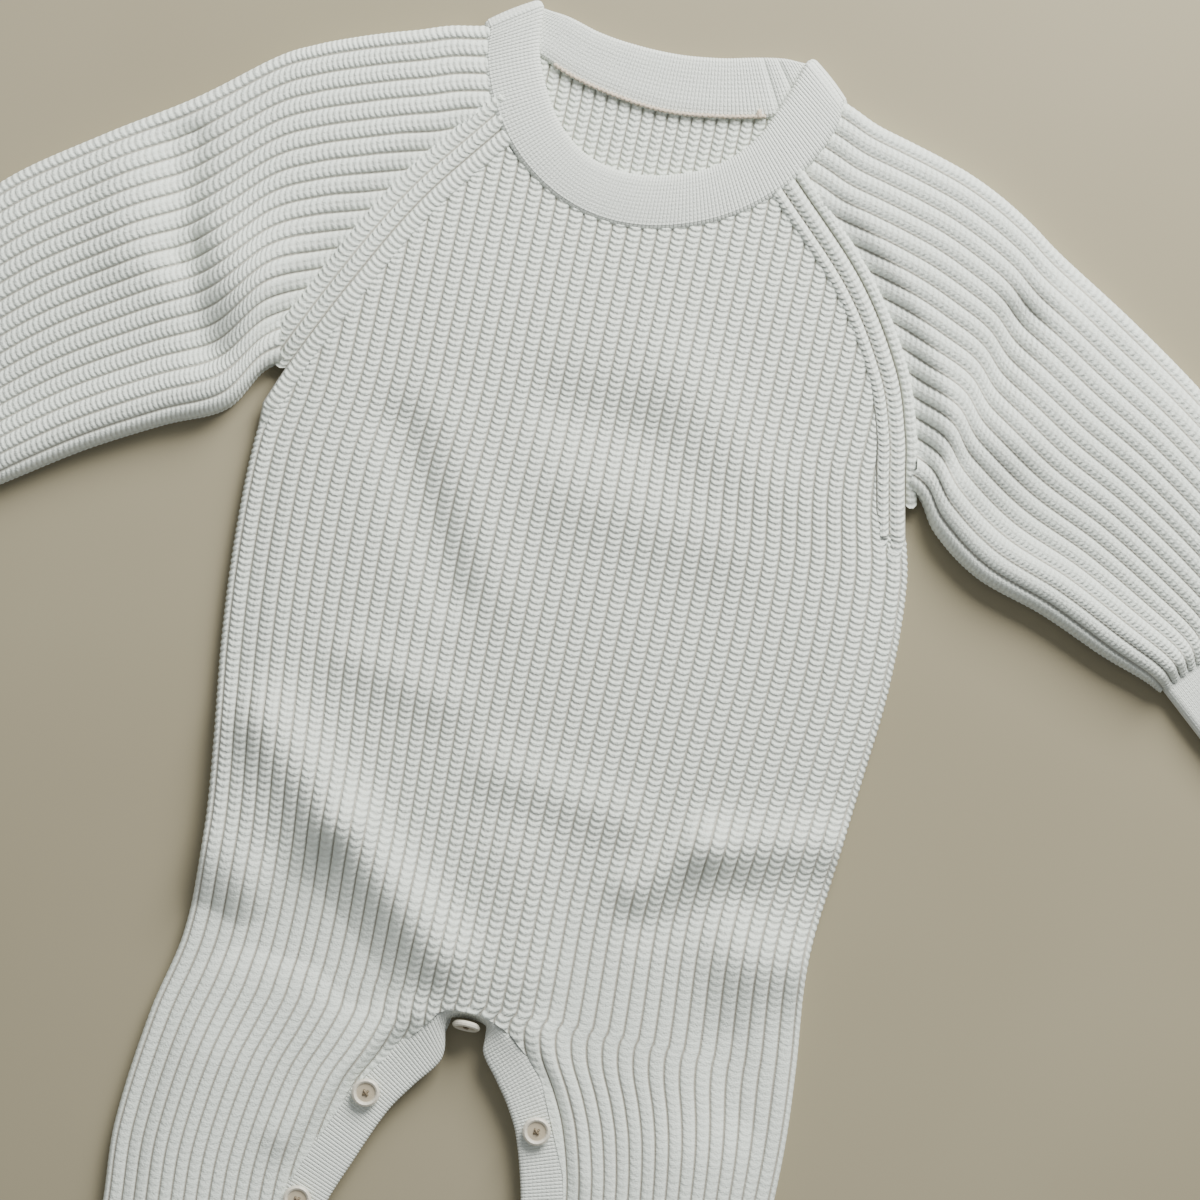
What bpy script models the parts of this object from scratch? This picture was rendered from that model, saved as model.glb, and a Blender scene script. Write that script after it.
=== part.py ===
"""A baby romper in chunky rib knit, laid flat: cloth walls, double rib bands and buttons.

Sizes are in millimetres, measured in the garment's own plan: x to the wearer's left as seen from
the front, y from the crotch towards the neck and z up from the surface it lies on.
"""

from collections import namedtuple
from math import cos, exp, hypot, pi, radians, sin

import bmesh
import bpy
from mathutils import Vector

MM = 0.001

# Cloth
KNIT_WALL = 3.0
BAND_WALL = 3.6
NECK_WALL = 4.0
SEAM_GAP = 0.4
INNER_SPACE = 1.2
UNDER = KNIT_WALL / 2
OVER = KNIT_WALL * 1.5 + INNER_SPACE
EDGE = 6.0

# Lengths
ARCH_TOP = 4.3
BACK_ARCH_TOP = 20.9
LEG_SEAM = -172.0
HEM = -212.0
CUFF_LENGTH = 38.0
SLEEVE_CUFF_GAP = 1.8
LEG_CUFF_GAP = 1.0

# Buttons
BUTTON_RADIUS = 5.5
BUTTON_HEIGHT = 2.6
BUTTON_RIM = 1.5
BUTTON_DISH = 0.9
HOLE_RADIUS = 0.55
HOLE_SPACING = 1.05

BAND_CROWN = 0.5
OVER_BAND = BAND_WALL * 1.5 + 1.0
UNDER_BAND = BAND_WALL / 2
BUTTON_SEAT = OVER_BAND + BAND_WALL / 2 + BAND_CROWN + 0.3
CROTCH_BUTTON = (1.0, -3.1, 7.9)
CROTCH_TILT = radians(73)

IVORY = (0.78, 0.79, 0.74, 1.0)
CREAM = (0.80, 0.76, 0.67, 1.0)

# How far the side edges stand from the middle line, at heights from hem to armpit
Side = namedtuple("Side", "y left right")
SIDES = (
    Side(LEG_SEAM, -112, 113),
    Side(-155, -117, 121.5),
    Side(-130, -120, 127),
    Side(-100, -121.2, 130),
    Side(-70, -123.3, 131),
    Side(-26, -119.3, 131),
    Side(7, -113.2, 128.5),
    Side(47, -113.6, 124),
    Side(81, -117.4, 126),
    Side(119, -123, 129),
    Side(158, -126.5, 131.5),
    Side(197, -127.3, 129.5),
    Side(222, -124.4, 123.5),
    Side(236, -123.4, 121.5),
)

# Where the front stops above: its raglan seams and the low front neckline
Top = namedtuple("Top", "x y")
FRONT_TOP = (
    Top(-125, 216),
    Top(-120.5, 228.6),
    Top(-104.6, 262.9),
    Top(-85, 300),
    Top(-61.5, 332.5),
    Top(-52.8, 323.2),
    Top(-33.8, 311.2),
    Top(-13, 306.2),
    Top(9, 308.4),
    Top(31.9, 317.7),
    Top(50.2, 332.6),
    Top(55.2, 338.5),
    Top(86.7, 307.5),
    Top(107.4, 276.5),
    Top(116.4, 252.6),
    Top(120, 236),
    Top(124, 222),
)
BACK_TOP = (
    Top(-125, 222),
    Top(-120, 231),
    Top(-100, 270),
    Top(-78, 318),
    Top(-55.5, 363.5),
    Top(-38.4, 358.3),
    Top(-19, 354.4),
    Top(0, 353),
    Top(20, 355.4),
    Top(41, 360.3),
    Top(52.5, 364),
    Top(78, 322),
    Top(100, 279),
    Top(117, 241),
    Top(125, 222),
)

# The inner leg seams that the button bands are sewn to, each leg from the crotch to its cuff
Inner = namedtuple("Inner", "y left right")
FRONT_INNER = (
    Inner(LEG_SEAM, -65.4, 65.4),
    Inner(-165, -65.1, 65.1),
    Inner(-120, -61.4, 61.8),
    Inner(-79, -54.5, 57),
    Inner(-57, -46.6, 52.6),
    Inner(-35, -37.1, 45.2),
    Inner(-21, -27.6, 37.8),
    Inner(-9, -19.4, 28),
    Inner(-2, -14.8, 20.8),
    Inner(2, -11.2, 13.6),
    Inner(3.7, -6, 7.8),
    Inner(ARCH_TOP, 0.8, 0.8),
)
BACK_INNER = (
    Inner(LEG_SEAM, -65.4, 65.4),
    Inner(-165, -65.1, 65.1),
    Inner(-120, -61.4, 61.8),
    Inner(-79, -54.5, 57),
    Inner(-57, -46.9, 52.8),
    Inner(-35, -38, 46),
    Inner(-21, -30.6, 40),
    Inner(-6, -24.6, 32),
    Inner(8, -18.6, 23.4),
    Inner(17, -10.4, 12.4),
    Inner(BACK_ARCH_TOP, 0.8, 0.8),
)

# Button bands from the left hem over the crotch to the right hem. The seam side is sewn to the
# panel and the free side faces the gap between the legs.
Band = namedtuple("Band", "seam_x seam_y seam_z free_x free_y free_z")
FRONT_BAND = (
    Band(-65, HEM, OVER_BAND, -47.5, HEM, OVER_BAND),
    Band(-64.6, -165, OVER_BAND, -47, -163, OVER_BAND),
    Band(-61, -121, OVER_BAND, -43, -118, OVER_BAND),
    Band(-54, -79, OVER_BAND, -37.3, -84.5, OVER_BAND),
    Band(-46, -57, OVER_BAND, -30, -64, OVER_BAND),
    Band(-36.5, -35, OVER_BAND, -21.4, -43, OVER_BAND),
    Band(-27, -21, OVER_BAND + 0.5, -13.4, -30.5, OVER_BAND),
    Band(-18.8, -9.4, OVER_BAND + 2.4, -6.4, -21, OVER_BAND),
    Band(-13.8, -3.4, OVER_BAND + 3.8, -5.2, -15.5, OVER_BAND - 0.2),
    Band(-10, -0.4, 11.2, -7.0, -8, 5.6),
    Band(-5.6, 1.5, 12.0, -6.6, -3, 5.6),
    Band(0.8, 2.0, 12.2, 1.0, -1.5, 2.8),
    Band(7.4, 1.5, 12.0, 8.8, -2.6, 5.6),
    Band(12.4, -0.4, 11.2, 9.2, -6.6, 5.6),
    Band(19.4, -4.0, OVER_BAND + 3.4, 9.6, -13.2, OVER_BAND - 0.2),
    Band(28.2, -10.8, OVER_BAND + 1.6, 16.6, -22.4, OVER_BAND),
    Band(37.2, -22, OVER_BAND + 0.3, 23.3, -31.6, OVER_BAND),
    Band(44.6, -35, OVER_BAND, 28.8, -42, OVER_BAND),
    Band(52, -57, OVER_BAND, 35, -62, OVER_BAND),
    Band(56.5, -79, OVER_BAND, 39, -82, OVER_BAND),
    Band(61.4, -121, OVER_BAND, 43.6, -121, OVER_BAND),
    Band(64.6, -165, OVER_BAND, 47, -165, OVER_BAND),
    Band(65, HEM, OVER_BAND, 47.5, HEM, OVER_BAND),
)
BACK_BAND = (
    Band(-65, HEM, UNDER_BAND, -48.5, HEM, UNDER_BAND),
    Band(-64.6, -165, UNDER_BAND, -48, -163, UNDER_BAND),
    Band(-61, -121, UNDER_BAND, -44, -118, UNDER_BAND),
    Band(-54, -79, UNDER_BAND, -38.3, -84, UNDER_BAND),
    Band(-46.3, -57, UNDER_BAND, -31, -63.4, UNDER_BAND),
    Band(-37.4, -35, UNDER_BAND, -22.4, -42, UNDER_BAND),
    Band(-30, -21, UNDER_BAND, -15, -30, UNDER_BAND),
    Band(-24, -6, UNDER_BAND, -8.6, -17.4, UNDER_BAND),
    Band(-18, 7.6, UNDER_BAND, -5.6, -6, UNDER_BAND),
    Band(-10, 16.5, UNDER_BAND, -4.4, 3.0, UNDER_BAND),
    Band(0.8, 20.2, UNDER_BAND, 1.2, 4.6, UNDER_BAND),
    Band(12, 16.5, UNDER_BAND, 7, 3.0, UNDER_BAND),
    Band(22.8, 7.6, UNDER_BAND, 9.4, -5, UNDER_BAND),
    Band(31.4, -6.2, UNDER_BAND, 15.6, -19, UNDER_BAND),
    Band(39.4, -21.4, UNDER_BAND, 24.4, -31.4, UNDER_BAND),
    Band(45.4, -35.4, UNDER_BAND, 29.8, -41.8, UNDER_BAND),
    Band(52.2, -57, UNDER_BAND, 36, -61.6, UNDER_BAND),
    Band(56.5, -79, UNDER_BAND, 40, -82, UNDER_BAND),
    Band(61.4, -121, UNDER_BAND, 44.6, -121, UNDER_BAND),
    Band(64.6, -165, UNDER_BAND, 48, -165, UNDER_BAND),
    Band(65, HEM, UNDER_BAND, 48.5, HEM, UNDER_BAND),
)

# The buttons down the legs
Spot = namedtuple("Spot", "name x y")
BUTTONS = (
    Spot("button_left_1", -31, -37.4),
    Spot("button_left_2", -47.8, -83),
    Spot("button_left_3", -54, -130),
    Spot("button_left_4", -56, -178),
    Spot("button_right_1", 36, -37.8),
    Spot("button_right_2", 48, -83.6),
    Spot("button_right_3", 53.6, -131),
    Spot("button_right_4", 56, -179),
)

# The neck band, front from left to right shoulder and then back from right to left
Neck = namedtuple("Neck", "free_x free_y seam_x seam_y")
NECK_FRONT = (
    Neck(-54.4, 383.5, -74.2, 370),
    Neck(-52.8, 368.2, -72.8, 358.6),
    Neck(-46.2, 352.5, -65.6, 341.3),
    Neck(-37, 339.5, -52.3, 324.6),
    Neck(-24, 330.9, -33.5, 312.4),
    Neck(-9, 328.4, -13, 307.4),
    Neck(7, 331.2, 9, 309.6),
    Neck(22.8, 338.3, 31.5, 318.9),
    Neck(35.1, 350.5, 49.6, 333.6),
    Neck(42.3, 365.4, 60.6, 350.4),
    Neck(46.6, 378.4, 65.8, 364),
    Neck(48.4, 384.6, 65.6, 370.2),
)
NECK_BACK = (
    Neck(48.4, 384.6, 65.6, 370.2),
    Neck(40, 384.6, 56, 366.2),
    Neck(30, 382.8, 41, 361.2),
    Neck(16, 379.5, 20, 356.4),
    Neck(0, 377.4, 0, 354),
    Neck(-16, 377.4, -19, 355.4),
    Neck(-31, 379, -38, 359.3),
    Neck(-44, 382.3, -54.4, 365.4),
    Neck(-54.4, 383.5, -74.2, 370),
)
NECK_UNDER = NECK_WALL / 2
NECK_OVER = 5.9
SHOULDER_LIFT = 1.4
NECK_CROWN = 0.5

# Sleeves from the cuff seam to the neck. The front and back lower points run along the underarm
# and then up the raglan seams, and the upper point runs along the shoulder. Bow bends a section.
Sleeve = namedtuple("Sleeve", "front_x front_y back_x back_y top_x top_y bow sewn")
LEFT_SLEEVE = (
    Sleeve(-234, 150, -234, 150, -273.5, 200, 0, 0),
    Sleeve(-228, 154.5, -228, 154.5, -271.5, 222, 0, 0),
    Sleeve(-214, 164.5, -214, 164.5, -262, 249, 0, 0),
    Sleeve(-190, 181, -190, 181, -240, 275, 0, 0),
    Sleeve(-163, 196.5, -163, 196.5, -208, 299, 0, 0),
    Sleeve(-141, 207.5, -141, 207.5, -176.4, 320.5, 0, 0),
    Sleeve(-129, 226, -129, 226, -150, 342, 0, 0),
    Sleeve(-122.6, 235.4, -119.6, 236.4, -136, 350, 0, 1),
    Sleeve(-113.3, 249, -109, 256, -122, 356, 0, 1),
    Sleeve(-104.6, 265.2, -97, 280, -110, 360.4, 0, 1),
    Sleeve(-94.6, 284.4, -84.5, 307, -99, 364, 0, 1),
    Sleeve(-82.6, 304.6, -71, 335, -88, 368, -1, 1),
    Sleeve(-63.6, 334.2, -56.6, 364.2, -76.6, 370.6, -4.5, 1),
)
RIGHT_SLEEVE = (
    Sleeve(234, 179, 234, 179, 275, 228, 0, 0),
    Sleeve(226, 182.5, 226, 182.5, 272.5, 248, 0, 0),
    Sleeve(209, 188, 209, 188, 255, 269, 0, 0),
    Sleeve(183, 198.4, 183, 198.4, 224.1, 293, 0, 0),
    Sleeve(156, 206.6, 156, 206.6, 192, 314, 0, 0),
    Sleeve(137, 219.4, 137, 219.4, 160.2, 332.6, 0, 0),
    Sleeve(127, 232, 127, 232, 146, 342, 0, 0),
    Sleeve(123, 241.6, 118.6, 242.6, 132.7, 349.6, 0, 1),
    Sleeve(116.4, 257.4, 108.6, 263, 119, 355.6, 0, 1),
    Sleeve(108.6, 275.6, 97.4, 287, 106, 359.6, 0, 1),
    Sleeve(97.6, 294, 84.6, 313, 93, 363, 0, 1),
    Sleeve(82.6, 313.4, 69.6, 338, 80, 366.4, 1, 1),
    Sleeve(57.4, 341.2, 54.6, 364.6, 69.2, 371, 3.6, 1),
)
SLEEVE_PUFF = 3.0

# Soft folds of the front: a ridge, or a trough where the height is negative, from start to end
Fold = namedtuple("Fold", "x0 y0 x1 y1 height width")
FOLDS = (
    Fold(-96, 92, -62, 66, 4.5, 13),
    Fold(-62, 66, -12, 26, 5.0, 12),
    Fold(-86, 44, -46, 12, -2.2, 11),
    Fold(-112, 88, -100, 44, 3.4, 14),
    Fold(-104, 14, -56, 6, -2.4, 12),
    Fold(70, 88, 108, 92, 3.2, 13),
    Fold(52, 62, 92, 66, -2.0, 10),
    Fold(92, 48, 122, 56, 3.4, 11),
    Fold(96, 26, 104, -8, -2.2, 11),
    Fold(-72, 214, -38, 156, -1.6, 12),
    Fold(-18, 240, 18, 236, -1.8, 15),
    Fold(30, 262, 60, 226, 1.8, 18),
    Fold(-40, 96, 40, 104, -1.4, 16),
    Fold(4, 60, 16, 22, 2.4, 16),
    Fold(-92, -40, -100, -130, 2.0, 18),
    Fold(92, -40, 96, -130, 2.0, 18),
)
BODY_RISE = 2.4
CROTCH_RISE = 4.0
FADE = 16.0

# Wall positions across a section, as distance in from the outline and height of mid-wall
Turn = namedtuple("Turn", "inset z")
WRAPPED_EDGE = (Turn(1.5, 0.6), Turn(1.5, 3.6), Turn(3.0, 5.2))
SEWN_EDGE = (Turn(0.2, OVER), Turn(1.4, OVER), Turn(3.2, OVER))
FOLDED_EDGE = (Turn(3.0, 5.2), Turn(1.5, 3.6), Turn(3.0, 2.0))
BACK_INSET = 4.6

# Mesh rows above the crotch and columns to each half of a panel
FRONT_STEPS, FRONT_COLUMNS = 13, 9
BACK_STEPS, BACK_COLUMNS = 8, 6

# Cloth cuffs swell a little between their seam and their hem, and leg cuffs draw in towards it
CUFF_PUFF = 0.6
LEG_CUFF_TAPER = 2.0


def clear_scene():
    for thing in list(bpy.data.objects):
        bpy.data.objects.remove(thing, do_unlink=True)


def make_material(name, colour, roughness):
    material = bpy.data.materials.new(name)
    material.use_nodes = True
    shader = material.node_tree.nodes["Principled BSDF"]
    shader.inputs["Base Color"].default_value = colour
    shader.inputs["Roughness"].default_value = roughness
    shader.inputs["Metallic"].default_value = 0.0
    return material


def smooth(rows, key, value, at):
    """The value column of a table at a place on its key column, on a smooth curve."""
    keys = [getattr(row, key) for row in rows]
    values = [getattr(row, value) for row in rows]
    if keys[0] > keys[-1]:
        keys.reverse()
        values.reverse()
    at = min(max(at, keys[0]), keys[-1])
    last = len(keys) - 1
    i = max(k for k in range(last) if keys[k] <= at)

    def slope(k):
        low, high = max(k - 1, 0), min(k + 1, last)
        return (values[high] - values[low]) / (keys[high] - keys[low])

    span = keys[i + 1] - keys[i]
    t = (at - keys[i]) / span
    bend = (2 * t**3 - 3 * t**2 + 1) * values[i] + (3 * t**2 - 2 * t**3) * values[i + 1]
    return bend + span * ((t**3 - 2 * t**2 + t) * slope(i) + (t**3 - t**2) * slope(i + 1))


def straight(rows, key, value, at):
    """The value column of a table at a place on its key column, on straight lines."""
    for low, high in zip(rows, rows[1:]):
        k0, k1 = getattr(low, key), getattr(high, key)
        if min(k0, k1) <= at <= max(k0, k1):
            share = (at - k0) / (k1 - k0)
            return getattr(low, value) + share * (getattr(high, value) - getattr(low, value))
    return getattr(rows[0 if at < getattr(rows[0], key) else -1], value)


def fold_height(x, y):
    """How far the folds lift the front at a point."""
    total = 0.0
    for fold in FOLDS:
        dx, dy = fold.x1 - fold.x0, fold.y1 - fold.y0
        share = ((x - fold.x0) * dx + (y - fold.y0) * dy) / (dx * dx + dy * dy)
        share = min(max(share, 0.0), 1.0)
        away = hypot(x - fold.x0 - share * dx, y - fold.y0 - share * dy)
        total += fold.height * exp(-((away / fold.width) ** 2))
    return total


def front_height(x, y, inside):
    """Mid-wall height of the front, where inside is the distance in from the side edge."""
    fade = min(max((inside - EDGE) / FADE, 0.0), 1.0)
    fade = fade * fade * (3 - 2 * fade)
    neck_fade = 1 - exp(-(((y - 330) / 60) ** 2))
    leg_fade = min(max((y - LEG_SEAM) / 30, 0.0), 1.0)
    rise = max(BODY_RISE + fold_height(x, y), 0.0) * fade * neck_fade * leg_fade
    crotch = CROTCH_RISE * exp(-(((x - 0.8) / 20) ** 2 + ((y - 4) / 24) ** 2))
    return OVER + rise + crotch


def surface(name, grids, wall, material, ring=False):
    """A cloth wall: grids of mid-wall points joined where they meet, given thickness both ways."""
    mesh = bpy.data.meshes.new(name)
    shape = bmesh.new()
    for grid in grids:
        rows = [[shape.verts.new(Vector(point) * MM) for point in row] for row in grid]
        if ring:
            rows.append(rows[0])
        for low, high in zip(rows, rows[1:]):
            for k in range(len(low) - 1):
                shape.faces.new((low[k], low[k + 1], high[k + 1], high[k]))
    bmesh.ops.remove_doubles(shape, verts=shape.verts, dist=0.01 * MM)
    bmesh.ops.recalc_face_normals(shape, faces=shape.faces)
    shape.to_mesh(mesh)
    shape.free()
    mesh.materials.append(material)
    mesh.shade_smooth()
    thing = bpy.data.objects.new(name, mesh)
    romper.objects.link(thing)
    solid = thing.modifiers.new("Wall", "SOLIDIFY")
    solid.thickness = wall * MM
    solid.offset = 0.0
    solid.use_even_offset = True
    return thing


def column(inner, tops, steps, share, inset, side):
    """Plan points up one column of a panel: share 0 is the side edge and 1 the middle or inner leg."""
    sign = -1 if side == "left" else 1
    armpit, arch = SIDES[-1].y, inner[-1]

    def across(y):
        outer = smooth(SIDES, "y", side, min(y, armpit)) - sign * inset
        middle = smooth(inner, "y", side, y) if y < arch.y else arch.left
        return outer + share * (middle - outer)

    top = straight(tops, "x", "y", across(armpit)) - SEAM_GAP
    levels = [row.y for row in inner]
    levels += [arch.y + (top - arch.y) * k / steps for k in range(1, steps + 1)]
    return [(across(y), y) for y in levels]


def front_panel():
    """Body front and both leg fronts, knitted in one piece and wrapped round the side edges."""
    grids = []
    for side in ("left", "right"):
        columns = []
        for turn in WRAPPED_EDGE:
            plan = column(FRONT_INNER, FRONT_TOP, FRONT_STEPS, 0, turn.inset, side)
            columns.append([(x, y, turn.z) for x, y in plan])
        for k in range(FRONT_COLUMNS):
            share = k / (FRONT_COLUMNS - 1)
            plan = column(FRONT_INNER, FRONT_TOP, FRONT_STEPS, share, EDGE, side)
            lifted = []
            for x, y in plan:
                outline = smooth(SIDES, "y", side, min(y, SIDES[-1].y))
                lifted.append((x, y, front_height(x, y, abs(outline - x))))
            columns.append(lifted)
        grids.append(columns)
    return surface("front_panel", grids, KNIT_WALL, ivory)


def back_panel():
    """Body back and both leg backs, flat on the surface inside the wrapped edge of the front."""
    grids = []
    for side in ("left", "right"):
        columns = []
        for k in range(BACK_COLUMNS):
            share = k / (BACK_COLUMNS - 1)
            plan = column(BACK_INNER, BACK_TOP, BACK_STEPS, share, BACK_INSET, side)
            columns.append([(x, y, UNDER) for x, y in plan])
        grids.append(columns)
    return surface("back_panel", grids, KNIT_WALL, ivory)


def tube_section(row, puff, edge, back_inset):
    """Mid-wall points round a flattened sleeve or cuff, from its front lower edge over to its back."""
    front = Vector((row.front_x, row.front_y))
    back = Vector((row.back_x, row.back_y))
    top = Vector((row.top_x, row.top_y))
    front_span, back_span = (top - front).length, (top - back).length
    across, under = (top - front) / front_span, (top - back) / back_span
    beside = Vector((across.y, -across.x))
    points = []

    def add(start, way, span, distance, z):
        share = distance / span
        plan = start + way * distance + beside * (row.bow * 4 * share * (1 - share))
        points.append((plan.x, plan.y, z))

    for turn in edge:
        add(front, across, front_span, turn.inset, turn.z)
    for k in range(7):
        share = k / 6
        swell = puff * sin(pi * share) ** 0.7
        add(front, across, front_span, EDGE + (front_span - 2 * EDGE) * share, OVER + swell)
    for turn in FOLDED_EDGE:
        way, span, start = (under, back_span, back) if turn.z < 3 else (across, front_span, front)
        add(start, way, span, span - turn.inset, turn.z)
    for k in range(5):
        distance = back_span - EDGE - (back_span - EDGE - back_inset) * k / 4
        add(back, under, back_span, distance, UNDER)
    return points


def sleeve(name, rows):
    """One knitted piece folded over at the shoulder edge, its two sides meeting under the arm."""
    sections = []
    for k, row in enumerate(rows):
        edge = SEWN_EDGE if row.sewn else WRAPPED_EDGE
        along = k / (len(rows) - 1)
        puff = SLEEVE_PUFF * sin(pi * along) ** 0.6
        sections.append(tube_section(row, puff, edge, 0.2 if row.sewn else BACK_INSET))
    return surface(name, [sections], KNIT_WALL, ivory)


def sleeve_cuff(name, seam):
    """A fine rib cuff that goes on from the sleeve's first section."""
    low, top = Vector((seam.front_x, seam.front_y)), Vector((seam.top_x, seam.top_y))
    across = (top - low).normalized()
    sign = -1 if seam.top_x < 0 else 1
    away = Vector((across.y, -across.x)) * sign
    sections = []
    for share in (0, 0.12, 0.55, 1):
        shift = away * (SLEEVE_CUFF_GAP + CUFF_LENGTH * share)
        start, end = low + shift, top + shift
        row = Sleeve(start.x, start.y, start.x, start.y, end.x, end.y, 0, 0)
        sections.append(tube_section(row, CUFF_PUFF * share, WRAPPED_EDGE, BACK_INSET))
    return surface(name, [sections], KNIT_WALL, ivory)


def leg_cuff(name, side):
    """A fine rib ankle cuff folded at the outer leg, both its ends sewn to the button bands."""
    sign = -1 if side == "left" else 1
    outer = abs(getattr(SIDES[0], side))
    inner = abs(getattr(FRONT_INNER[0], side))
    sections = []
    for y in (LEG_SEAM - LEG_CUFF_GAP, LEG_SEAM - 6, (LEG_SEAM + HEM) / 2, HEM):
        end = sign * (outer - LEG_CUFF_TAPER * (LEG_SEAM - y) / (LEG_SEAM - HEM))
        row = Sleeve(sign * inner, y, sign * inner, y, end, y, 0, 1)
        sections.append(tube_section(row, CUFF_PUFF, SEWN_EDGE, 0.2))
    return surface(name, [sections], KNIT_WALL, ivory)


def button_band(name, rows, crown):
    """A double rib band from hem to hem over the crotch, a little thicker along its middle."""
    sections = []
    for row in rows:
        seam = Vector((row.seam_x, row.seam_y, row.seam_z))
        free = Vector((row.free_x, row.free_y, row.free_z))
        middle = (seam + free) / 2 + Vector((0, 0, crown))
        sections.append([seam, middle, free])
    return surface(name, [sections], BAND_WALL, ivory)


def neck_band():
    """A double rib band that goes once round the neck and folds at both shoulders."""
    sections = []

    def add(row, z, shift=Vector((0, 0, 0)), crown=NECK_CROWN):
        free = Vector((row.free_x, row.free_y, z)) + shift
        seam = Vector((row.seam_x, row.seam_y, z)) + shift
        sections.append([free, (free + seam) / 2 + Vector((0, 0, crown)), seam])

    def fold_over(row, downward):
        fold = Vector((row.seam_x - row.free_x, row.seam_y - row.free_y, 0)).normalized()
        outward = Vector((-fold.y, fold.x, 0))
        if outward.y < 0:
            outward = -outward
        top = NECK_OVER + SHOULDER_LIFT
        radius, centre = (top - NECK_UNDER) / 2, (top + NECK_UNDER) / 2
        for angle in (pi / 4, 0, -pi / 4) if downward else (-pi / 4, 0, pi / 4):
            add(row, centre + radius * sin(angle), outward * radius * cos(angle), 0)

    half = abs(NECK_FRONT[0].free_x)
    for row in NECK_FRONT:
        add(row, NECK_OVER + SHOULDER_LIFT * min(abs(row.free_x) / half, 1) ** 2)
    fold_over(NECK_FRONT[-1], downward=True)
    for row in NECK_BACK:
        add(row, NECK_UNDER, crown=0)
    fold_over(NECK_BACK[-1], downward=False)
    return surface("neck_band", [sections], NECK_WALL, ivory, ring=True)


def button_mesh():
    """A dished four-hole button, turned and then drilled."""
    profile = (
        (0.0, BUTTON_HEIGHT - BUTTON_DISH),
        (BUTTON_RADIUS - BUTTON_RIM - 0.5, BUTTON_HEIGHT - BUTTON_DISH),
        (BUTTON_RADIUS - BUTTON_RIM, BUTTON_HEIGHT - 0.3),
        (BUTTON_RADIUS - 0.9, BUTTON_HEIGHT),
        (BUTTON_RADIUS - 0.2, BUTTON_HEIGHT - 0.5),
        (BUTTON_RADIUS, BUTTON_HEIGHT / 2),
        (BUTTON_RADIUS - 0.7, 0.25),
        (BUTTON_RADIUS - 1.8, 0.0),
        (0.0, 0.0),
    )
    mesh = bpy.data.meshes.new("button_profile")
    shape = bmesh.new()
    points = [shape.verts.new((r * MM, 0, z * MM)) for r, z in profile]
    for a, b in zip(points, points[1:]):
        shape.edges.new((a, b))
    shape.to_mesh(mesh)
    shape.free()
    blank = bpy.data.objects.new("button_blank", mesh)
    helpers.objects.link(blank)
    turned = blank.modifiers.new("Turned", "SCREW")
    turned.steps = 20
    turned.render_steps = 20
    turned.use_merge_vertices = True
    turned.merge_threshold = 0.00001
    for k in range(4):
        angle = pi / 4 + k * pi / 2
        bpy.ops.mesh.primitive_cylinder_add(vertices=6, radius=HOLE_RADIUS * MM, depth=8 * MM)
        drill = bpy.context.active_object
        drill.name = f"drill_{k}"
        drill.location = (HOLE_SPACING * cos(angle) * MM, HOLE_SPACING * sin(angle) * MM, 0)
        for owner in list(drill.users_collection):
            owner.objects.unlink(drill)
        helpers.objects.link(drill)
        drill.hide_render = True
        drill.display_type = "WIRE"
        drilled = blank.modifiers.new(f"Drilled_{k}", "BOOLEAN")
        drilled.operation = "DIFFERENCE"
        drilled.object = drill
    blank.hide_render = True
    blank.display_type = "WIRE"
    bpy.context.view_layer.update()
    graph = bpy.context.evaluated_depsgraph_get()
    made = bpy.data.meshes.new_from_object(blank.evaluated_get(graph))
    made.name = "button"
    made.materials.clear()
    made.materials.append(cream)
    made.shade_smooth()
    made.set_sharp_from_angle(angle=0.6)
    return made


def place_buttons():
    """One button upright at the crotch and four down each leg, all on the front button band."""
    mesh = button_mesh()
    for spot in BUTTONS:
        button = bpy.data.objects.new(spot.name, mesh)
        button.location = Vector((spot.x, spot.y, BUTTON_SEAT)) * MM
        romper.objects.link(button)
    crotch = bpy.data.objects.new("button_crotch", mesh)
    crotch.location = Vector(CROTCH_BUTTON) * MM
    crotch.rotation_euler = (CROTCH_TILT, 0, 0)
    romper.objects.link(crotch)


def centre_on_origin():
    """Hangs every piece on one empty, so that the middle of the whole outline is at the origin."""
    bpy.context.view_layer.update()
    graph = bpy.context.evaluated_depsgraph_get()
    corners = []
    for piece in romper.objects:
        made = piece.evaluated_get(graph)
        corners += [made.matrix_world @ Vector(corner) for corner in made.bound_box]
    middle = Vector(
        [(min(c[i] for c in corners) + max(c[i] for c in corners)) / 2 for i in range(2)] + [0]
    )
    origin = bpy.data.objects.new("romper_origin", None)
    origin.location = -middle
    pieces = list(romper.objects)
    romper.objects.link(origin)
    for piece in pieces:
        piece.parent = origin


clear_scene()
romper = bpy.data.collections.new("baby_romper")
helpers = bpy.data.collections.new("helpers")
bpy.context.scene.collection.children.link(romper)
bpy.context.scene.collection.children.link(helpers)
ivory = make_material("ivory_knit", IVORY, 0.95)
cream = make_material("cream_button", CREAM, 0.45)
front_panel()
back_panel()
sleeve("left_sleeve", LEFT_SLEEVE)
sleeve("right_sleeve", RIGHT_SLEEVE)
sleeve_cuff("left_sleeve_cuff", LEFT_SLEEVE[0])
sleeve_cuff("right_sleeve_cuff", RIGHT_SLEEVE[0])
leg_cuff("left_leg_cuff", "left")
leg_cuff("right_leg_cuff", "right")
button_band("front_button_band", FRONT_BAND, BAND_CROWN)
button_band("back_button_band", BACK_BAND, 0.0)
neck_band()
place_buttons()
centre_on_origin()
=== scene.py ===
"""A baby romper in chunky ivory rib knit, laid flat on a pale floor and seen from straight above."""

from collections import namedtuple
from math import atan, cos, pi, radians, sin

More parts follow.
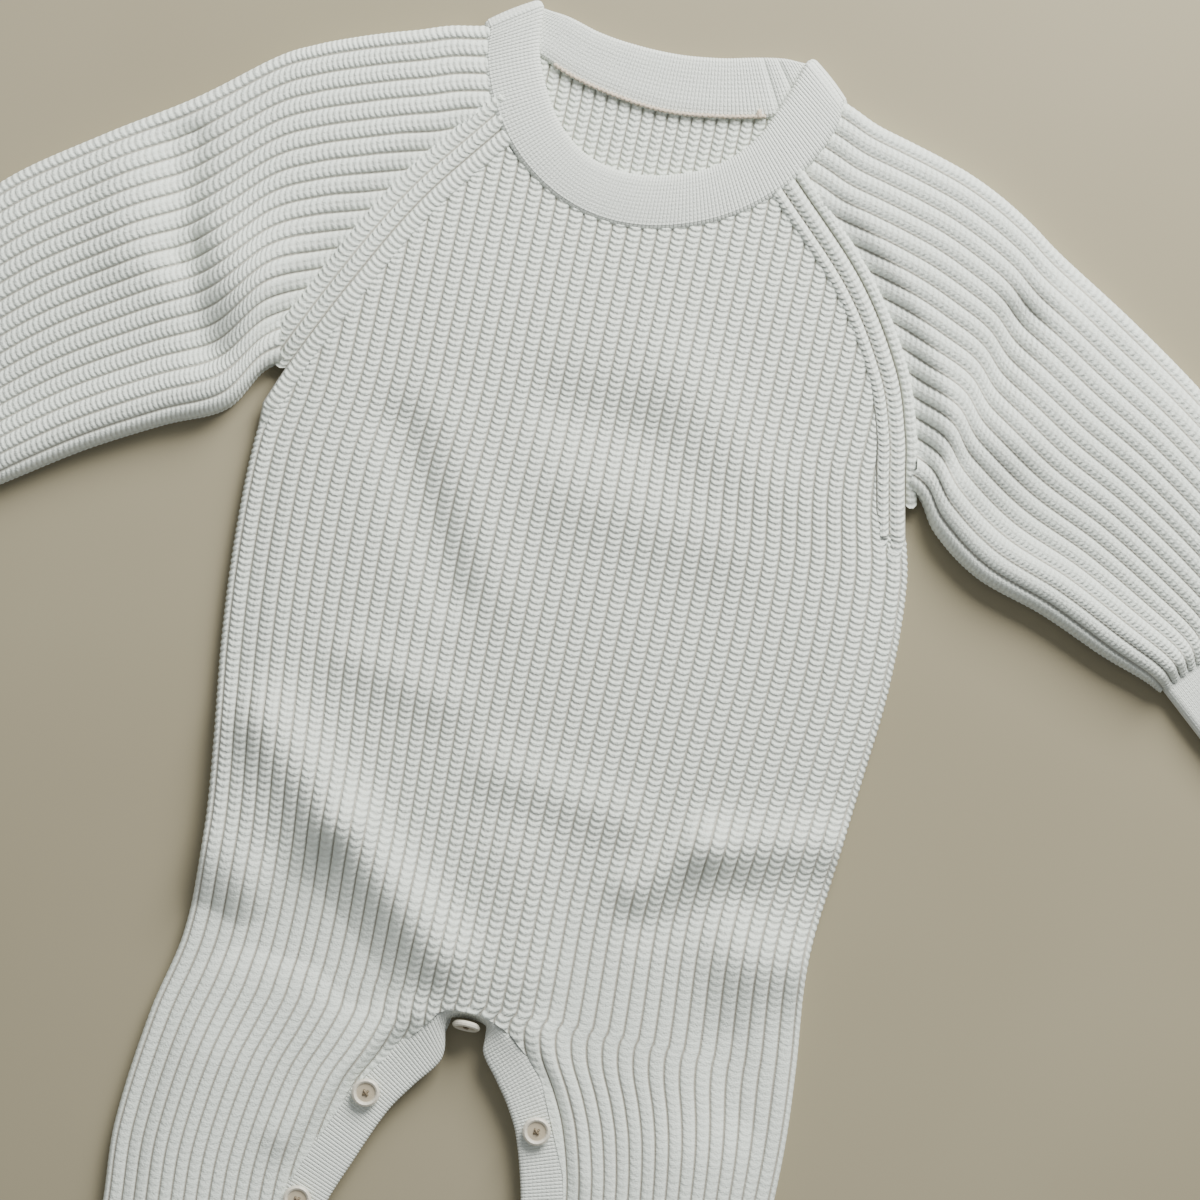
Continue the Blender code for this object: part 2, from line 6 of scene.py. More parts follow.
import bpy
import numpy as np
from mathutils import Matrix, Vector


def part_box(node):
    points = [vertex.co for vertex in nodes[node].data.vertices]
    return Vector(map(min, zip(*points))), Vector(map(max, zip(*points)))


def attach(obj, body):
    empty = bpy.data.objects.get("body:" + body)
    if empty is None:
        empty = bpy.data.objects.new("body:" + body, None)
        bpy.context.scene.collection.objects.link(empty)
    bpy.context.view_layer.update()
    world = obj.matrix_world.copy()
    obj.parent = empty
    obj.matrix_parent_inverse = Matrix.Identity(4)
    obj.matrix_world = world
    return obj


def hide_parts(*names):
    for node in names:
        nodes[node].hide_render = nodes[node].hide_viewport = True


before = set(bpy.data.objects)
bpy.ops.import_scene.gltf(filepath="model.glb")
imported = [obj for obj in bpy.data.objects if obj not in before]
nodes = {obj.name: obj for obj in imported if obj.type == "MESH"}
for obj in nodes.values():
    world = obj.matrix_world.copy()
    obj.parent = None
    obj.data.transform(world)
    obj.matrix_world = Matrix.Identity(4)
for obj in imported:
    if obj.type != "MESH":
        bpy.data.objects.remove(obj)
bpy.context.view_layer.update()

# Camera. It looks straight down on the chest and is turned a little, so that the romper
# lies askew, with its sleeves and legs running out of the view.
VIEW_SIDE = 0.462
VIEW_HEIGHT = 1.5
VIEW_MIDDLE = (0.0153, 0.0778)
VIEW_TURN = radians(12.5)

camera = bpy.data.objects.new("camera", bpy.data.cameras.new("camera"))
camera.location = (*VIEW_MIDDLE, VIEW_HEIGHT)
camera.rotation_euler = (0, 0, VIEW_TURN)
camera.data.angle = 2 * atan(VIEW_SIDE / 2 / VIEW_HEIGHT)
bpy.context.scene.collection.objects.link(camera)
bpy.context.scene.camera = camera


class Wire:
    """A socket in a material's node tree. Arithmetic on it adds the Math nodes."""

    def __init__(self, tree, socket=None):
        self.tree = tree
        self.socket = socket

    def node(self, kind, settings, values, output=0):
        """Adds a node with its settings, then fills its sockets with values or links."""
        made = self.tree.nodes.new(kind)
        for name, value in settings.items():
            setattr(made, name, value)
        for name, value in values.items():
            if isinstance(value, Wire):
                self.tree.links.new(value.socket, made.inputs[name])
            else:
                made.inputs[name].default_value = value
        return Wire(self.tree, made.outputs[output])

    def maths(self, operation, *values, **settings):
        return self.node(
            "ShaderNodeMath", {"operation": operation, **settings}, dict(enumerate(values))
        )

    def blend(self, low, high):
        """A colour between two colours, with this value as the share of the second."""
        colours = {"Factor": self, 6: low, 7: high}
        return self.node("ShaderNodeMix", {"data_type": "RGBA"}, colours, output=2)

    def between(self, low, high):
        """This value as a share of the way from low to high, eased and kept from 0 to 1."""
        settings = {"interpolation_type": "SMOOTHSTEP"}
        return self.node("ShaderNodeMapRange", settings, {0: self, 1: low, 2: high})

    def __add__(self, other):
        return self.maths("ADD", self, other)

    def __sub__(self, other):
        return self.maths("SUBTRACT", self, other)

    def __rsub__(self, other):
        return self.maths("SUBTRACT", other, self)

    def __mul__(self, other):
        return self.maths("MULTIPLY", self, other)

    __radd__ = __add__
    __rmul__ = __mul__


# Floor and light. A plain painted board in warm pale grey, lit through a wide window beyond
# the neck, a little to the right, with soft light from all round.
FLOOR_SIDE = 12.0
FLOOR_DROP = 0.0004
FLOOR_COLOUR = (0.298, 0.262, 0.168, 1)
FLOOR_SHADE = (0.268, 0.234, 0.146, 1)
WINDOW_PLACE = (0.36, 1.2, 0.78)
WINDOW_SIZE = 0.8
WINDOW_POWER = 56
FILL_COLOUR = (0.93, 0.96, 1.0, 1)
FILL_STRENGTH = 0.4

bpy.ops.mesh.primitive_plane_add(size=FLOOR_SIDE, location=(0, 0, -FLOOR_DROP))
floor = bpy.context.active_object
floor.name = "floor"
board = bpy.data.materials.new("painted_board")
board.use_nodes = True
shader = board.node_tree.nodes["Principled BSDF"]
wire = Wire(board.node_tree)
place = wire.node("ShaderNodeTexCoord", {}, {}, output="Object")
mottle = wire.node("ShaderNodeTexNoise", {}, {"Vector": place, "Scale": 3.0, "Detail": 3.0})
tone = mottle.between(0.3, 0.7).blend(FLOOR_SHADE, FLOOR_COLOUR)
board.node_tree.links.new(tone.socket, shader.inputs["Base Color"])
shader.inputs["Roughness"].default_value = 0.7
floor.data.materials.append(board)

window = bpy.data.objects.new("window", bpy.data.lights.new("window", "AREA"))
window.data.size = WINDOW_SIZE
window.data.energy = WINDOW_POWER
window.location = WINDOW_PLACE
window.rotation_euler = window.location.to_track_quat("Z", "Y").to_euler()
bpy.context.scene.collection.objects.link(window)
sky = bpy.data.worlds.new("soft_fill")
sky.use_nodes = True
sky.node_tree.nodes["Background"].inputs["Color"].default_value = FILL_COLOUR
sky.node_tree.nodes["Background"].inputs["Strength"].default_value = FILL_STRENGTH
bpy.context.scene.world = sky


# Front panel. The body front and both leg fronts are knitted in one piece of chunky ivory rib,
# 41 ribs across the flat of the chest, pressed and laid over the back. Its side edges wrap down to
# the surface, and soft folds cross the hips where the cloth has been pulled into the legs.
MM = 0.001
MIDDLE = np.array((0.4, 88.2, 0.0))
KNIT_WALL, BAND_WALL, NECK_WALL = 3.0, 3.6, 4.0
INNER_SPACE = 1.2
OVER = KNIT_WALL * 1.5 + INNER_SPACE
TOP_FACE = OVER + KNIT_WALL / 2
LEG_SEAM, HEM, ARCH_TOP = -172.0, -212.0, 4.3

Side = namedtuple("Side", "y left right")
SIDES = (
    Side(LEG_SEAM, -112, 113),
    Side(-155, -117, 121.5),
    Side(-130, -120, 127),
    Side(-100, -121.2, 130),
    Side(-70, -123.3, 131),
    Side(-26, -119.3, 131),
    Side(7, -113.2, 128.5),
    Side(47, -113.6, 124),
    Side(81, -117.4, 126),
    Side(119, -123, 129),
    Side(158, -126.5, 131.5),
    Side(197, -127.3, 129.5),
    Side(222, -124.4, 123.5),
    Side(236, -123.4, 121.5),
)
# Inner leg seams, and how many ribs to each side of the middle have ended at them
Inner = namedtuple("Inner", "y left right left_ribs right_ribs")
FRONT_INNER = (
    Inner(LEG_SEAM, -65.4, 65.4, 10.5, 9.5),
    Inner(-165, -65.1, 65.1, 10.3, 9.2),
    Inner(-120, -61.4, 61.8, 9.2, 7.2),
    Inner(-79, -54.5, 57, 7.4, 5.6),
    Inner(-57, -46.6, 52.6, 6.2, 5.1),
    Inner(-35, -37.1, 45.2, 5.2, 4.9),
    Inner(-21, -27.6, 37.8, 4.6, 4.8),
    Inner(-9, -19.4, 28, 3.8, 4.4),
    Inner(-2, -14.8, 20.8, 2.9, 3.6),
    Inner(2, -11.2, 13.6, 2.2, 2.4),
    Inner(3.7, -6, 7.8, 1.2, 1.3),
    Inner(ARCH_TOP, 0.8, 0.8, 0, 0),
)
# The neckline and the raglan seams
Top = namedtuple("Top", "x y")
NECKLINE = (
    Top(-75, 352),
    Top(-61.5, 332.5),
    Top(-52.8, 323.2),
    Top(-33.8, 311.2),
    Top(-13, 306.2),
    Top(9, 308.4),
    Top(31.9, 317.7),
    Top(50.2, 332.6),
    Top(70, 355),
)
LEFT_RAGLAN = (
    Top(-127, 212),
    Top(-120.5, 228.6),
    Top(-104.6, 262.9),
    Top(-85, 300),
    Top(-61.5, 332.5),
    Top(-54, 342),
)
RIGHT_RAGLAN = (
    Top(125, 214),
    Top(120, 236),
    Top(116.4, 252.6),
    Top(107.4, 276.5),
    Top(86.7, 307.5),
    Top(55.2, 338.5),
    Top(46, 347),
)
# Stitch height down the panel
Gauge = namedtuple("Gauge", "y stitch")
GAUGE = (
    Gauge(LEG_SEAM, 3.0),
    Gauge(-40, 2.9),
    Gauge(40, 2.8),
    Gauge(110, 2.45),
    Gauge(350, 2.3),
)
# Soft folds, each a ridge, or a trough where the height is negative, from start to end
Fold = namedtuple("Fold", "x0 y0 x1 y1 height width")
BODY_FOLDS = (
    Fold(-98, 92, -66, 66, 7.2, 13),
    Fold(-58, 58, -14, 22, 7.6, 12),
    Fold(-88, 42, -42, 4, -4.2, 13),
    Fold(-124, 40, -96, 37, 5.6, 15),
    Fold(-124, 66, -102, 60, 3.6, 26),
    Fold(-116, 8, -74, 14, -3.0, 11),
    Fold(52, 62, 76, 83, 3.8, 9),
    Fold(76, 83, 122, 93, 4.4, 10),
    Fold(60, 48, 92, 66, -2.0, 9),
    Fold(98, 44, 130, 46, 5.2, 14),
    Fold(100, 10, 110, -12, -2.6, 13),
    Fold(-74, 214, -40, 156, -3.0, 10),
    Fold(-58, 220, -24, 160, 1.6, 12),
    Fold(-16, 236, 18, 232, -2.6, 12),
    Fold(26, 258, 66, 222, 2.8, 16),
    Fold(-4, 204, 60, 196, 2.2, 14),
    Fold(-72, 124, -34, 116, 2.2, 10),
    Fold(-10, 94, 42, 86, 2.4, 10),
    Fold(4, 60, 16, 22, 2.8, 15),
    Fold(-20, -4, -58, -60, 2.4, 8),
    Fold(28, -2, 50, -52, 2.0, 8),
    Fold(-92, -40, -100, -130, 2.4, 18),
    Fold(92, -40, 96, -130, 2.4, 18),
)
BODY_RISE, CROTCH_RISE, FADE = 2.4, 4.0, 16.0
FOLD_START, FOLD_FADE = 2.0, 9.0
# The front lies lower at the neck and at the ankle seams, and higher over the crotch
NECK_LOW, NECK_SPREAD, LEG_RUN = 330, 60, 30
CROTCH_X, CROTCH_Y, CROTCH_WIDE, CROTCH_LONG = 0.8, 4, 20, 24
EDGE_CLEAR = 0.5
HALF_RIBS = 20.5
EDGE_INSET = 5.5
EDGE_RIBS = 1.9
EDGE_DROP = 3.4
EDGE_ROUND = 3.3

# Where the points lie across one rib, and how high each stands from groove to crown
RIB_PLACES = (0.0, 0.1, 0.34, 0.66, 0.9)
RIB_SHAPE = ((0.0, 0.0), (0.1, 0.68), (0.34, 1.0), (0.66, 1.0), (0.9, 0.68), (1.0, 0.0))
RIB_DEPTH, LEG_RIB_DEPTH = 1.25, 0.9
CHEVRON = 0.55
STITCH_DEPTH = 0.2
# Stitches stand out on the chest and over the crotch, and lie flat on the legs
LEG_FLAT = 0.25
CLEAR_LOW, CLEAR_HIGH = 10.0, 80.0
CLEAR_MIDDLE, CLEAR_SIDE = 12.0, 42.0

# Where a groove starts, from 0 at the crown to 1, how dark the shade painted into it is and how deep
# its bump is
CHUNKY_GROOVE = (0.74, 0.78, 0.35)
# The yarn's own colour, and the painted shade colour that the grooves and stitch gaps blend towards
YARN = (0.765, 0.81, 0.72, 1)
YARN_PAINTED_SHADE = (0.40, 0.375, 0.30, 1)


def smooth(rows, key, value, at):
    """The value column of a table at places on its key column, on one smooth curve."""
    keys = np.array([getattr(row, key) for row in rows], float)
    values = np.array([getattr(row, value) for row in rows], float)
    if keys[0] > keys[-1]:
        keys, values = keys[::-1], values[::-1]
    low = np.maximum(np.arange(len(keys)) - 1, 0)
    high = np.minimum(np.arange(len(keys)) + 1, len(keys) - 1)
    slopes = (values[high] - values[low]) / (keys[high] - keys[low])
    at = np.clip(at, keys[0], keys[-1])
    i = np.clip(np.searchsorted(keys, at, side="right") - 1, 0, len(keys) - 2)
    span = keys[i + 1] - keys[i]
    t = (at - keys[i]) / span
    ends = (2 * t**3 - 3 * t**2 + 1) * values[i] + (3 * t**2 - 2 * t**3) * values[i + 1]
    return ends + span * ((t**3 - 2 * t**2 + t) * slopes[i] + (t**3 - t**2) * slopes[i + 1])


def fold_height(folds, x, y):
    """How far the folds lift the cloth at each point."""
    total = np.zeros_like(x)
    for fold in folds:
        dx, dy = fold.x1 - fold.x0, fold.y1 - fold.y0
        share = np.clip(((x - fold.x0) * dx + (y - fold.y0) * dy) / (dx * dx + dy * dy), 0, 1)
        away = np.hypot(x - fold.x0 - share * dx, y - fold.y0 - share * dy)
        total += fold.height * np.exp(-((away / fold.width) ** 2))
    return total


def rib_columns(first, last, places=RIB_PLACES):
    """Rib positions of a sheet's columns: whole numbers are the grooves between ribs."""
    ribs = np.array([n + place for n in range(int(first) - 1, int(last) + 2) for place in places])
    return ribs[(ribs >= first - 1e-6) & (ribs <= last + 1e-6)]


def bend(ribs):
    """How far a row of stitches climbs from a rib's crown to its grooves, in stitches."""
    return CHEVRON * np.abs(2 * (ribs - np.floor(ribs)) - 1) ** 1.5


def ease(share):
    """A share kept from 0 to 1 and eased at both ends."""
    share = np.clip(share, 0, 1)
    return share * share * (3 - 2 * share)


def raise_ribs(points, ribs, stitches, depth, stitch_depth):
    """Lifts the points of a sheet along its normals into ribs with chevron stitches."""
    along = np.gradient(points, axis=1)
    across = np.gradient(points, axis=0)
    normals = np.cross(across, along)
    lengths = np.linalg.norm(normals, axis=2, keepdims=True)
    normals = normals / np.maximum(lengths, 1e-9)
    part = ribs - np.floor(ribs)
    crown = np.interp(part, *zip(*RIB_SHAPE))
    waves = np.cos(2 * pi * stitches) * stitch_depth * crown
    return points + normals * (crown * depth + waves)[..., None]


def trim(points, ribs, stitches, inside):
    """Cuts every column of a sheet to the stretch where inside is positive.

    The points past each cut gather on the cut itself. Returns the cut arrays and the first
    and last row that each column keeps, or -1 where it keeps none.
    """
    columns, rows = inside.shape
    first, last = np.full(columns, -1), np.full(columns, -1)
    data = np.concatenate([points, ribs[..., None], stitches[..., None]], axis=2)
    for c in range(columns):
        kept = np.flatnonzero(inside[c] > 0)
        if len(kept) < 2:
            continue
        low, high = kept[0], kept[-1]
        for edge, step in ((low, -1), (high, 1)):
            past = edge + step
            if 0 <= past < rows:
                share = inside[c, edge] / (inside[c, edge] - inside[c, past])
                data[c, past] = data[c, edge] + share * (data[c, past] - data[c, edge])
        first[c], last[c] = max(low - 1, 0), min(high + 1, rows - 1)
    return data[..., :3], data[..., 3], data[..., 4], first, last


def knit_piece(name, sheets, material):
    """One mesh from sheets of points in millimetres, each with its rib and stitch counts."""
    corners, quads, counts = [], [], []
    start = 0
    for points, ribs, stitches, first, last in sheets:
        columns, rows = ribs.shape
        row = np.clip(np.arange(rows)[None, :], first[:, None], last[:, None])
        index = start + np.arange(columns)[:, None] * rows + row
        kept = (first[:-1] >= 0) & (first[1:] >= 0)
        around = [index[:-1, :-1], index[1:, :-1], index[1:, 1:], index[:-1, 1:]]
        quads.append(np.stack(around, axis=2)[kept].reshape(-1, 4))
        corners.append(points.reshape(-1, 3))
        counts.append(np.stack([ribs, stitches], axis=2).reshape(-1, 2))
        start += columns * rows
    corners, counts, quads = (np.concatenate(parts) for parts in (corners, counts, quads))
    used, quads = np.unique(quads, return_inverse=True)
    corners, counts, quads = corners[used], counts[used], quads.reshape(-1, 4)
    welded, same = np.unique(np.round(corners, 3), axis=0, return_inverse=True)
    same = same.reshape(-1)
    faces, order = [], []
    for quad, joined in zip(quads.tolist(), same[quads].tolist()):
        kept = [k for k in range(4) if joined[k] not in joined[:k]]
        if len(kept) > 2:
            faces.append([joined[k] for k in kept])
            order += [quad[k] for k in kept]
    mesh = bpy.data.meshes.new(name)
    mesh.from_pydata(((welded - MIDDLE) * MM).tolist(), [], faces)
    layer = mesh.uv_layers.new(name="knit")
    layer.data.foreach_set("uv", counts[order].astype(np.float32).ravel())
    mesh.shade_smooth()
    mesh.materials.append(material)
    piece = bpy.data.objects.new(name, mesh)
    bpy.context.scene.collection.objects.link(piece)
    return piece


def whole(points, ribs, stitches):
    """A sheet that keeps every row of every column."""
    columns, rows = ribs.shape
    return points, ribs, stitches, np.zeros(columns, int), np.full(columns, rows - 1)


def yarn_material(name, light, painted_shade, groove, gap_painted_shade, stitch_bump, fuzz_scale, flat_legs):
    """Matt spun yarn with painted shade, darker in the grooves and between stitches, with a soft bloom
    of fibre.
    """
    material = bpy.data.materials.new(name)
    material.use_nodes = True
    shader = material.node_tree.nodes["Principled BSDF"]
    wire = Wire(material.node_tree)
    counts = wire.node("ShaderNodeUVMap", {"uv_map": "knit"}, {})
    rib = wire.node("ShaderNodeSeparateXYZ", {}, {"Vector": counts}, output="X")
    stitch = wire.node("ShaderNodeSeparateXYZ", {}, {"Vector": counts}, output="Y")
    across = rib.maths("FRACT", rib) * 2 - 1
    aside = across.maths("ABSOLUTE", across)
    along = stitch.maths("FRACT", stitch) * 2 - 1
    strand = along.maths("ABSOLUTE", along)
    groove_from, groove_painted_shade, groove_bump = groove
    groove = aside.between(groove_from, 1.0)
    spine = 1 - aside.between(0.0, 0.3)
    gap = (1 - strand.between(0.05, 0.6)) * (1 - groove)
    place = wire.node("ShaderNodeTexCoord", {}, {}, output="Object")
    show = 1.0
    if flat_legs:
        side = wire.node("ShaderNodeSeparateXYZ", {}, {"Vector": place}, output="X")
        up = wire.node("ShaderNodeSeparateXYZ", {}, {"Vector": place}, output="Y")
        side = side.maths("ABSOLUTE", side).between(CLEAR_SIDE * MM, CLEAR_MIDDLE * MM)
        low, high = (CLEAR_LOW - MIDDLE[1]) * MM, (CLEAR_HIGH - MIDDLE[1]) * MM
        show = up.maths("MAXIMUM", up.between(low, high), side) * (1 - LEG_FLAT) + LEG_FLAT
    fuzz = wire.node(
        "ShaderNodeTexNoise", {}, {"Vector": place, "Scale": fuzz_scale, "Detail": 4.0}
    )
    cloudy = wire.node("ShaderNodeTexNoise", {}, {"Vector": place, "Scale": 22.0, "Detail": 2.0})
    # Painted shade: the grooves (deeper on the legs), the gaps between stitches and the middle of each
    # rib's crown between the stitch arms are coloured darker. The fuzz and cloudy noise add a random
    # mottle of fibre tone.
    painted_shade_and_mottle = groove * (1.4 - 0.4 * show) * groove_painted_shade + gap * show * gap_painted_shade + spine * show * 0.14
    painted_shade_and_mottle = painted_shade_and_mottle + (fuzz - 0.5) * 0.5 + (cloudy - 0.5) * 0.14
    colour = painted_shade_and_mottle.between(0.0, 1.0).blend(light, painted_shade)
    height = strand.between(0.0, 0.9) * (1 - groove) * show * stitch_bump
    height = height - groove * groove_bump - spine * show * stitch_bump * 0.3 + fuzz * 0.4
    bump = wire.node(
        "ShaderNodeBump", {}, {"Strength": 1.0, "Distance": 0.001, "Height": height}
    )
    material.node_tree.links.new(colour.socket, shader.inputs["Base Color"])
    material.node_tree.links.new(bump.socket, shader.inputs["Normal"])
    shader.inputs["Roughness"].default_value = 0.95
    shader.inputs["Specular IOR Level"].default_value = 0.15
    shader.inputs["Sheen Weight"].default_value = 0.25
    shader.inputs["Sheen Roughness"].default_value = 0.6
    return material


def front_height(x, y, inside):
    """Height of the front's top face, where inside is the distance in from the side edge."""
    fade = ease((inside - EDGE_INSET) / FADE)
    neck_fade = 1 - np.exp(-(((y - NECK_LOW) / NECK_SPREAD) ** 2))
    leg_fade = np.clip((y - LEG_SEAM) / LEG_RUN, 0, 1)
    folds = fold_height(BODY_FOLDS, x, y) * ease((inside + FOLD_START) / FOLD_FADE)
    rise = np.maximum(BODY_RISE * fade + folds, 0) * neck_fade * leg_fade
    aside, along = (x - CROTCH_X) / CROTCH_WIDE, (y - CROTCH_Y) / CROTCH_LONG
    return TOP_FACE + rise + CROTCH_RISE * np.exp(-(aside**2 + along**2))


def stitch_rows(low, high):
    """Heights up the panel of its half-stitch rows, which follow the gauge."""
    y = np.arange(low, high, 0.5)
    count = np.concatenate([[0], np.cumsum(0.5 / smooth(GAUGE, "y", "stitch", y[:-1]))])
    rows = np.arange(0, count[-1], 0.5)
    return np.interp(rows, count, y), rows


def panel_sheet(ribs, y, inner, half_ribs):
    """Plan places of a panel at rib positions and heights, its outer edge, and the ribs past its
    inner seam."""
    left = ribs < 0
    level = np.minimum(y, SIDES[-1].y)
    outer = np.where(left, smooth(SIDES, "y", "left", level), smooth(SIDES, "y", "right", level))
    sign = np.where(left, -1, 1)
    seam = np.where(left, smooth(inner, "y", "left", y), smooth(inner, "y", "right", y))
    ended = np.where(left, smooth(inner, "y", "left_ribs", y), smooth(inner, "y", "right_ribs", y))
    over_arch = y > inner[-1].y
    seam = np.where(over_arch, inner[-1].left, seam)
    ended = np.where(over_arch, 0, ended)
    share = (np.abs(ribs) - ended) / (half_ribs - ended)
    x = seam + share * (outer - sign * EDGE_INSET - seam)
    return x, outer, np.abs(ribs) - ended


def edge_turn(ribs, half_ribs):
    """How far points past the flat part have gone inward from the outline and down, and their turn."""
    flat = EDGE_INSET - EDGE_ROUND
    quarter = EDGE_ROUND * pi / 2
    walk = np.clip((np.abs(ribs) - half_ribs) / EDGE_RIBS, 0, 1) * (flat + quarter + EDGE_DROP)
    turn = np.clip((walk - flat) / EDGE_ROUND, 0, pi / 2)
    inset = EDGE_INSET - np.minimum(walk, flat) - EDGE_ROUND * np.sin(turn)
    drop = EDGE_ROUND * (1 - np.cos(turn)) + np.maximum(walk - flat - quarter, 0)
    return inset, drop, turn


# A raglan seam's length against its rise, the borders beside the seams, and how far the panel
# runs in under a border and under the neck band
RAGLAN_SLANT = 1.18
LEFT_BORDER, RIGHT_BORDER = 7.3, 11.2
TUCK, NECK_TUCK = 1.2, 2.0


def off_raglan(line, x, y, sign):
    """How far points lie from a raglan seam, square to it, on the side that sign gives."""
    return sign * (x - smooth(line, "y", "x", y)) / RAGLAN_SLANT


# How far the panel's inner edges lap over the button band, and where they settle on it
LAP, LAP_RIBS = 2.4, 0.35
LAP_LEVEL, LAP_WIDTH, LAP_FROM, LAP_RUN = 7.4, 1.5, -2, 20
FRONT_TOP = 352
# The trim counts a rib beside an inner seam as this many millimetres
TRIM_RIB = 4

ribs = rib_columns(-HALF_RIBS - EDGE_RIBS, HALF_RIBS + EDGE_RIBS)
levels, counts = stitch_rows(LEG_SEAM, FRONT_TOP)
ribs, levels = np.meshgrid(ribs, levels, indexing="ij")
stitches = np.broadcast_to(counts, ribs.shape)
levels = levels + bend(ribs) * smooth(GAUGE, "y", "stitch", levels)
flat_ribs = np.clip(ribs, -HALF_RIBS, HALF_RIBS)
x, outer, past_seam = panel_sheet(flat_ribs, levels, FRONT_INNER, HALF_RIBS)
z = front_height(x, levels, np.abs(outer - x)) - RIB_DEPTH
settled = ease(1 - past_seam / LAP_WIDTH) * ease((LAP_FROM - levels) / LAP_RUN)
z = z + (LAP_LEVEL - z) * settled
inset, drop, turn = edge_turn(ribs, HALF_RIBS)
at_edge = np.abs(ribs) > HALF_RIBS
x = np.where(at_edge, outer - np.sign(ribs) * (inset + RIB_DEPTH * np.sin(turn)), x)
drop *= np.maximum(z + RIB_DEPTH - EDGE_CLEAR, 0) / (EDGE_ROUND + EDGE_DROP)
points = np.stack([x, levels, z - drop], axis=2)
clear = np.maximum(
    ease((levels - CLEAR_LOW) / (CLEAR_HIGH - CLEAR_LOW)),
    ease((CLEAR_SIDE - np.abs(x)) / (CLEAR_SIDE - CLEAR_MIDDLE)),
)
shown = STITCH_DEPTH * (LEG_FLAT + (1 - LEG_FLAT) * clear)
depth = LEG_RIB_DEPTH + (RIB_DEPTH - LEG_RIB_DEPTH) * clear
points = raise_ribs(points, ribs, stitches, depth, shown)

past_lap = panel_sheet(flat_ribs, levels + LAP, FRONT_INNER, HALF_RIBS)[2] + LAP_RIBS
inside = np.where(levels + LAP > ARCH_TOP, FADE, past_lap * TRIM_RIB)
inside = np.minimum(inside, smooth(NECKLINE, "x", "y", x) + NECK_TUCK - levels)
for line, sign, border in ((LEFT_RAGLAN, 1, LEFT_BORDER), (RIGHT_RAGLAN, -1, RIGHT_BORDER)):
    clear = off_raglan(line, x, levels, sign) - border + TUCK
    inside = np.where(levels > line[0].y, np.minimum(inside, clear), inside)
chunky = yarn_material(
    "chunky_rib", YARN, YARN_PAINTED_SHADE, CHUNKY_GROOVE, 0.36, 0.45, 1500, flat_legs=True
)
body_sheet = trim(points, ribs, stitches, inside)

# Ribs of the fully fashioned border, which run along the raglan seams
BORDER_DEPTH = 2.1
BORDER_STITCH = 2.5
BORDER_STITCH_DEPTH = 0.4
BORDER_RAISE = 0.8
BORDER_END_DROP = 3.2
BORDER_END = 24.0
BORDER_FOOT = 3.4
# Heights that the front's borders run between, and the widths of the two ribs on the right
LEFT_RUN, RIGHT_RUN, RIGHT_WIDTHS = (198, 340), (194, 345), (6.2, 5.0)


def border_sheet(line, sign, widths, from_y, to_y, height, foot=False):
    """Ribs of these widths laid side by side along a raglan seam, from the armpit to the neck."""
    y = np.arange(from_y, to_y, 0.5)
    x = smooth(line, "y", "x", y)
    walked = np.concatenate([[0], np.cumsum(np.hypot(np.diff(x), np.diff(y)))])
    ribs = rib_columns(0, len(widths))
    across = np.interp(ribs, np.arange(len(widths) + 1), np.concatenate([[0], np.cumsum(widths)]))
    rows = np.arange(0, walked[-1] / BORDER_STITCH, 0.5)
    ribs, rows = np.meshgrid(ribs, rows, indexing="ij")
    at = (rows + bend(ribs)) * BORDER_STITCH
    line_y = np.interp(at, walked, y)
    line_x = smooth(line, "y", "x", line_y)
    lean_x = smooth(line, "y", "x", line_y + 1) - smooth(line, "y", "x", line_y - 1)
    lean = np.hypot(lean_x, 2)
    x = line_x + sign * across[:, None] * 2 / lean
    y = line_y - sign * across[:, None] * lean_x / lean
    end = np.clip(1 - at / BORDER_END, 0, 1) ** 2 * BORDER_END_DROP
    points = np.stack([x, y, height(x, y) + BORDER_RAISE - BORDER_DEPTH - end], axis=2)
    points = raise_ribs(points, ribs, rows, sign * BORDER_DEPTH, sign * BORDER_STITCH_DEPTH)
    if foot:
        edge = points[:1].copy()
        edge[..., 2] = np.minimum(edge[..., 2], BORDER_FOOT)
        points = np.concatenate([edge, points])
        ribs, rows = np.concatenate([ribs[:1], ribs]), np.concatenate([rows[:1], rows])
    return whole(points, ribs, rows)


def body_border_height(x, y):
    """Height of the front's top face, with the side edges carried straight up from their top."""
    side = np.where(x < 0, SIDES[-1].left, SIDES[-1].right)
    return front_height(x, y, np.abs(side - x))


front = knit_piece(
    "knit_front_panel",
    [
        body_sheet,
        border_sheet(LEFT_RAGLAN, 1, (LEFT_BORDER,), *LEFT_RUN, body_border_height, foot=True),
        border_sheet(RIGHT_RAGLAN, -1, RIGHT_WIDTHS, *RIGHT_RUN, body_border_height, foot=True),
    ],
    chunky,
)
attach(front, "root")
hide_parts("front_panel")


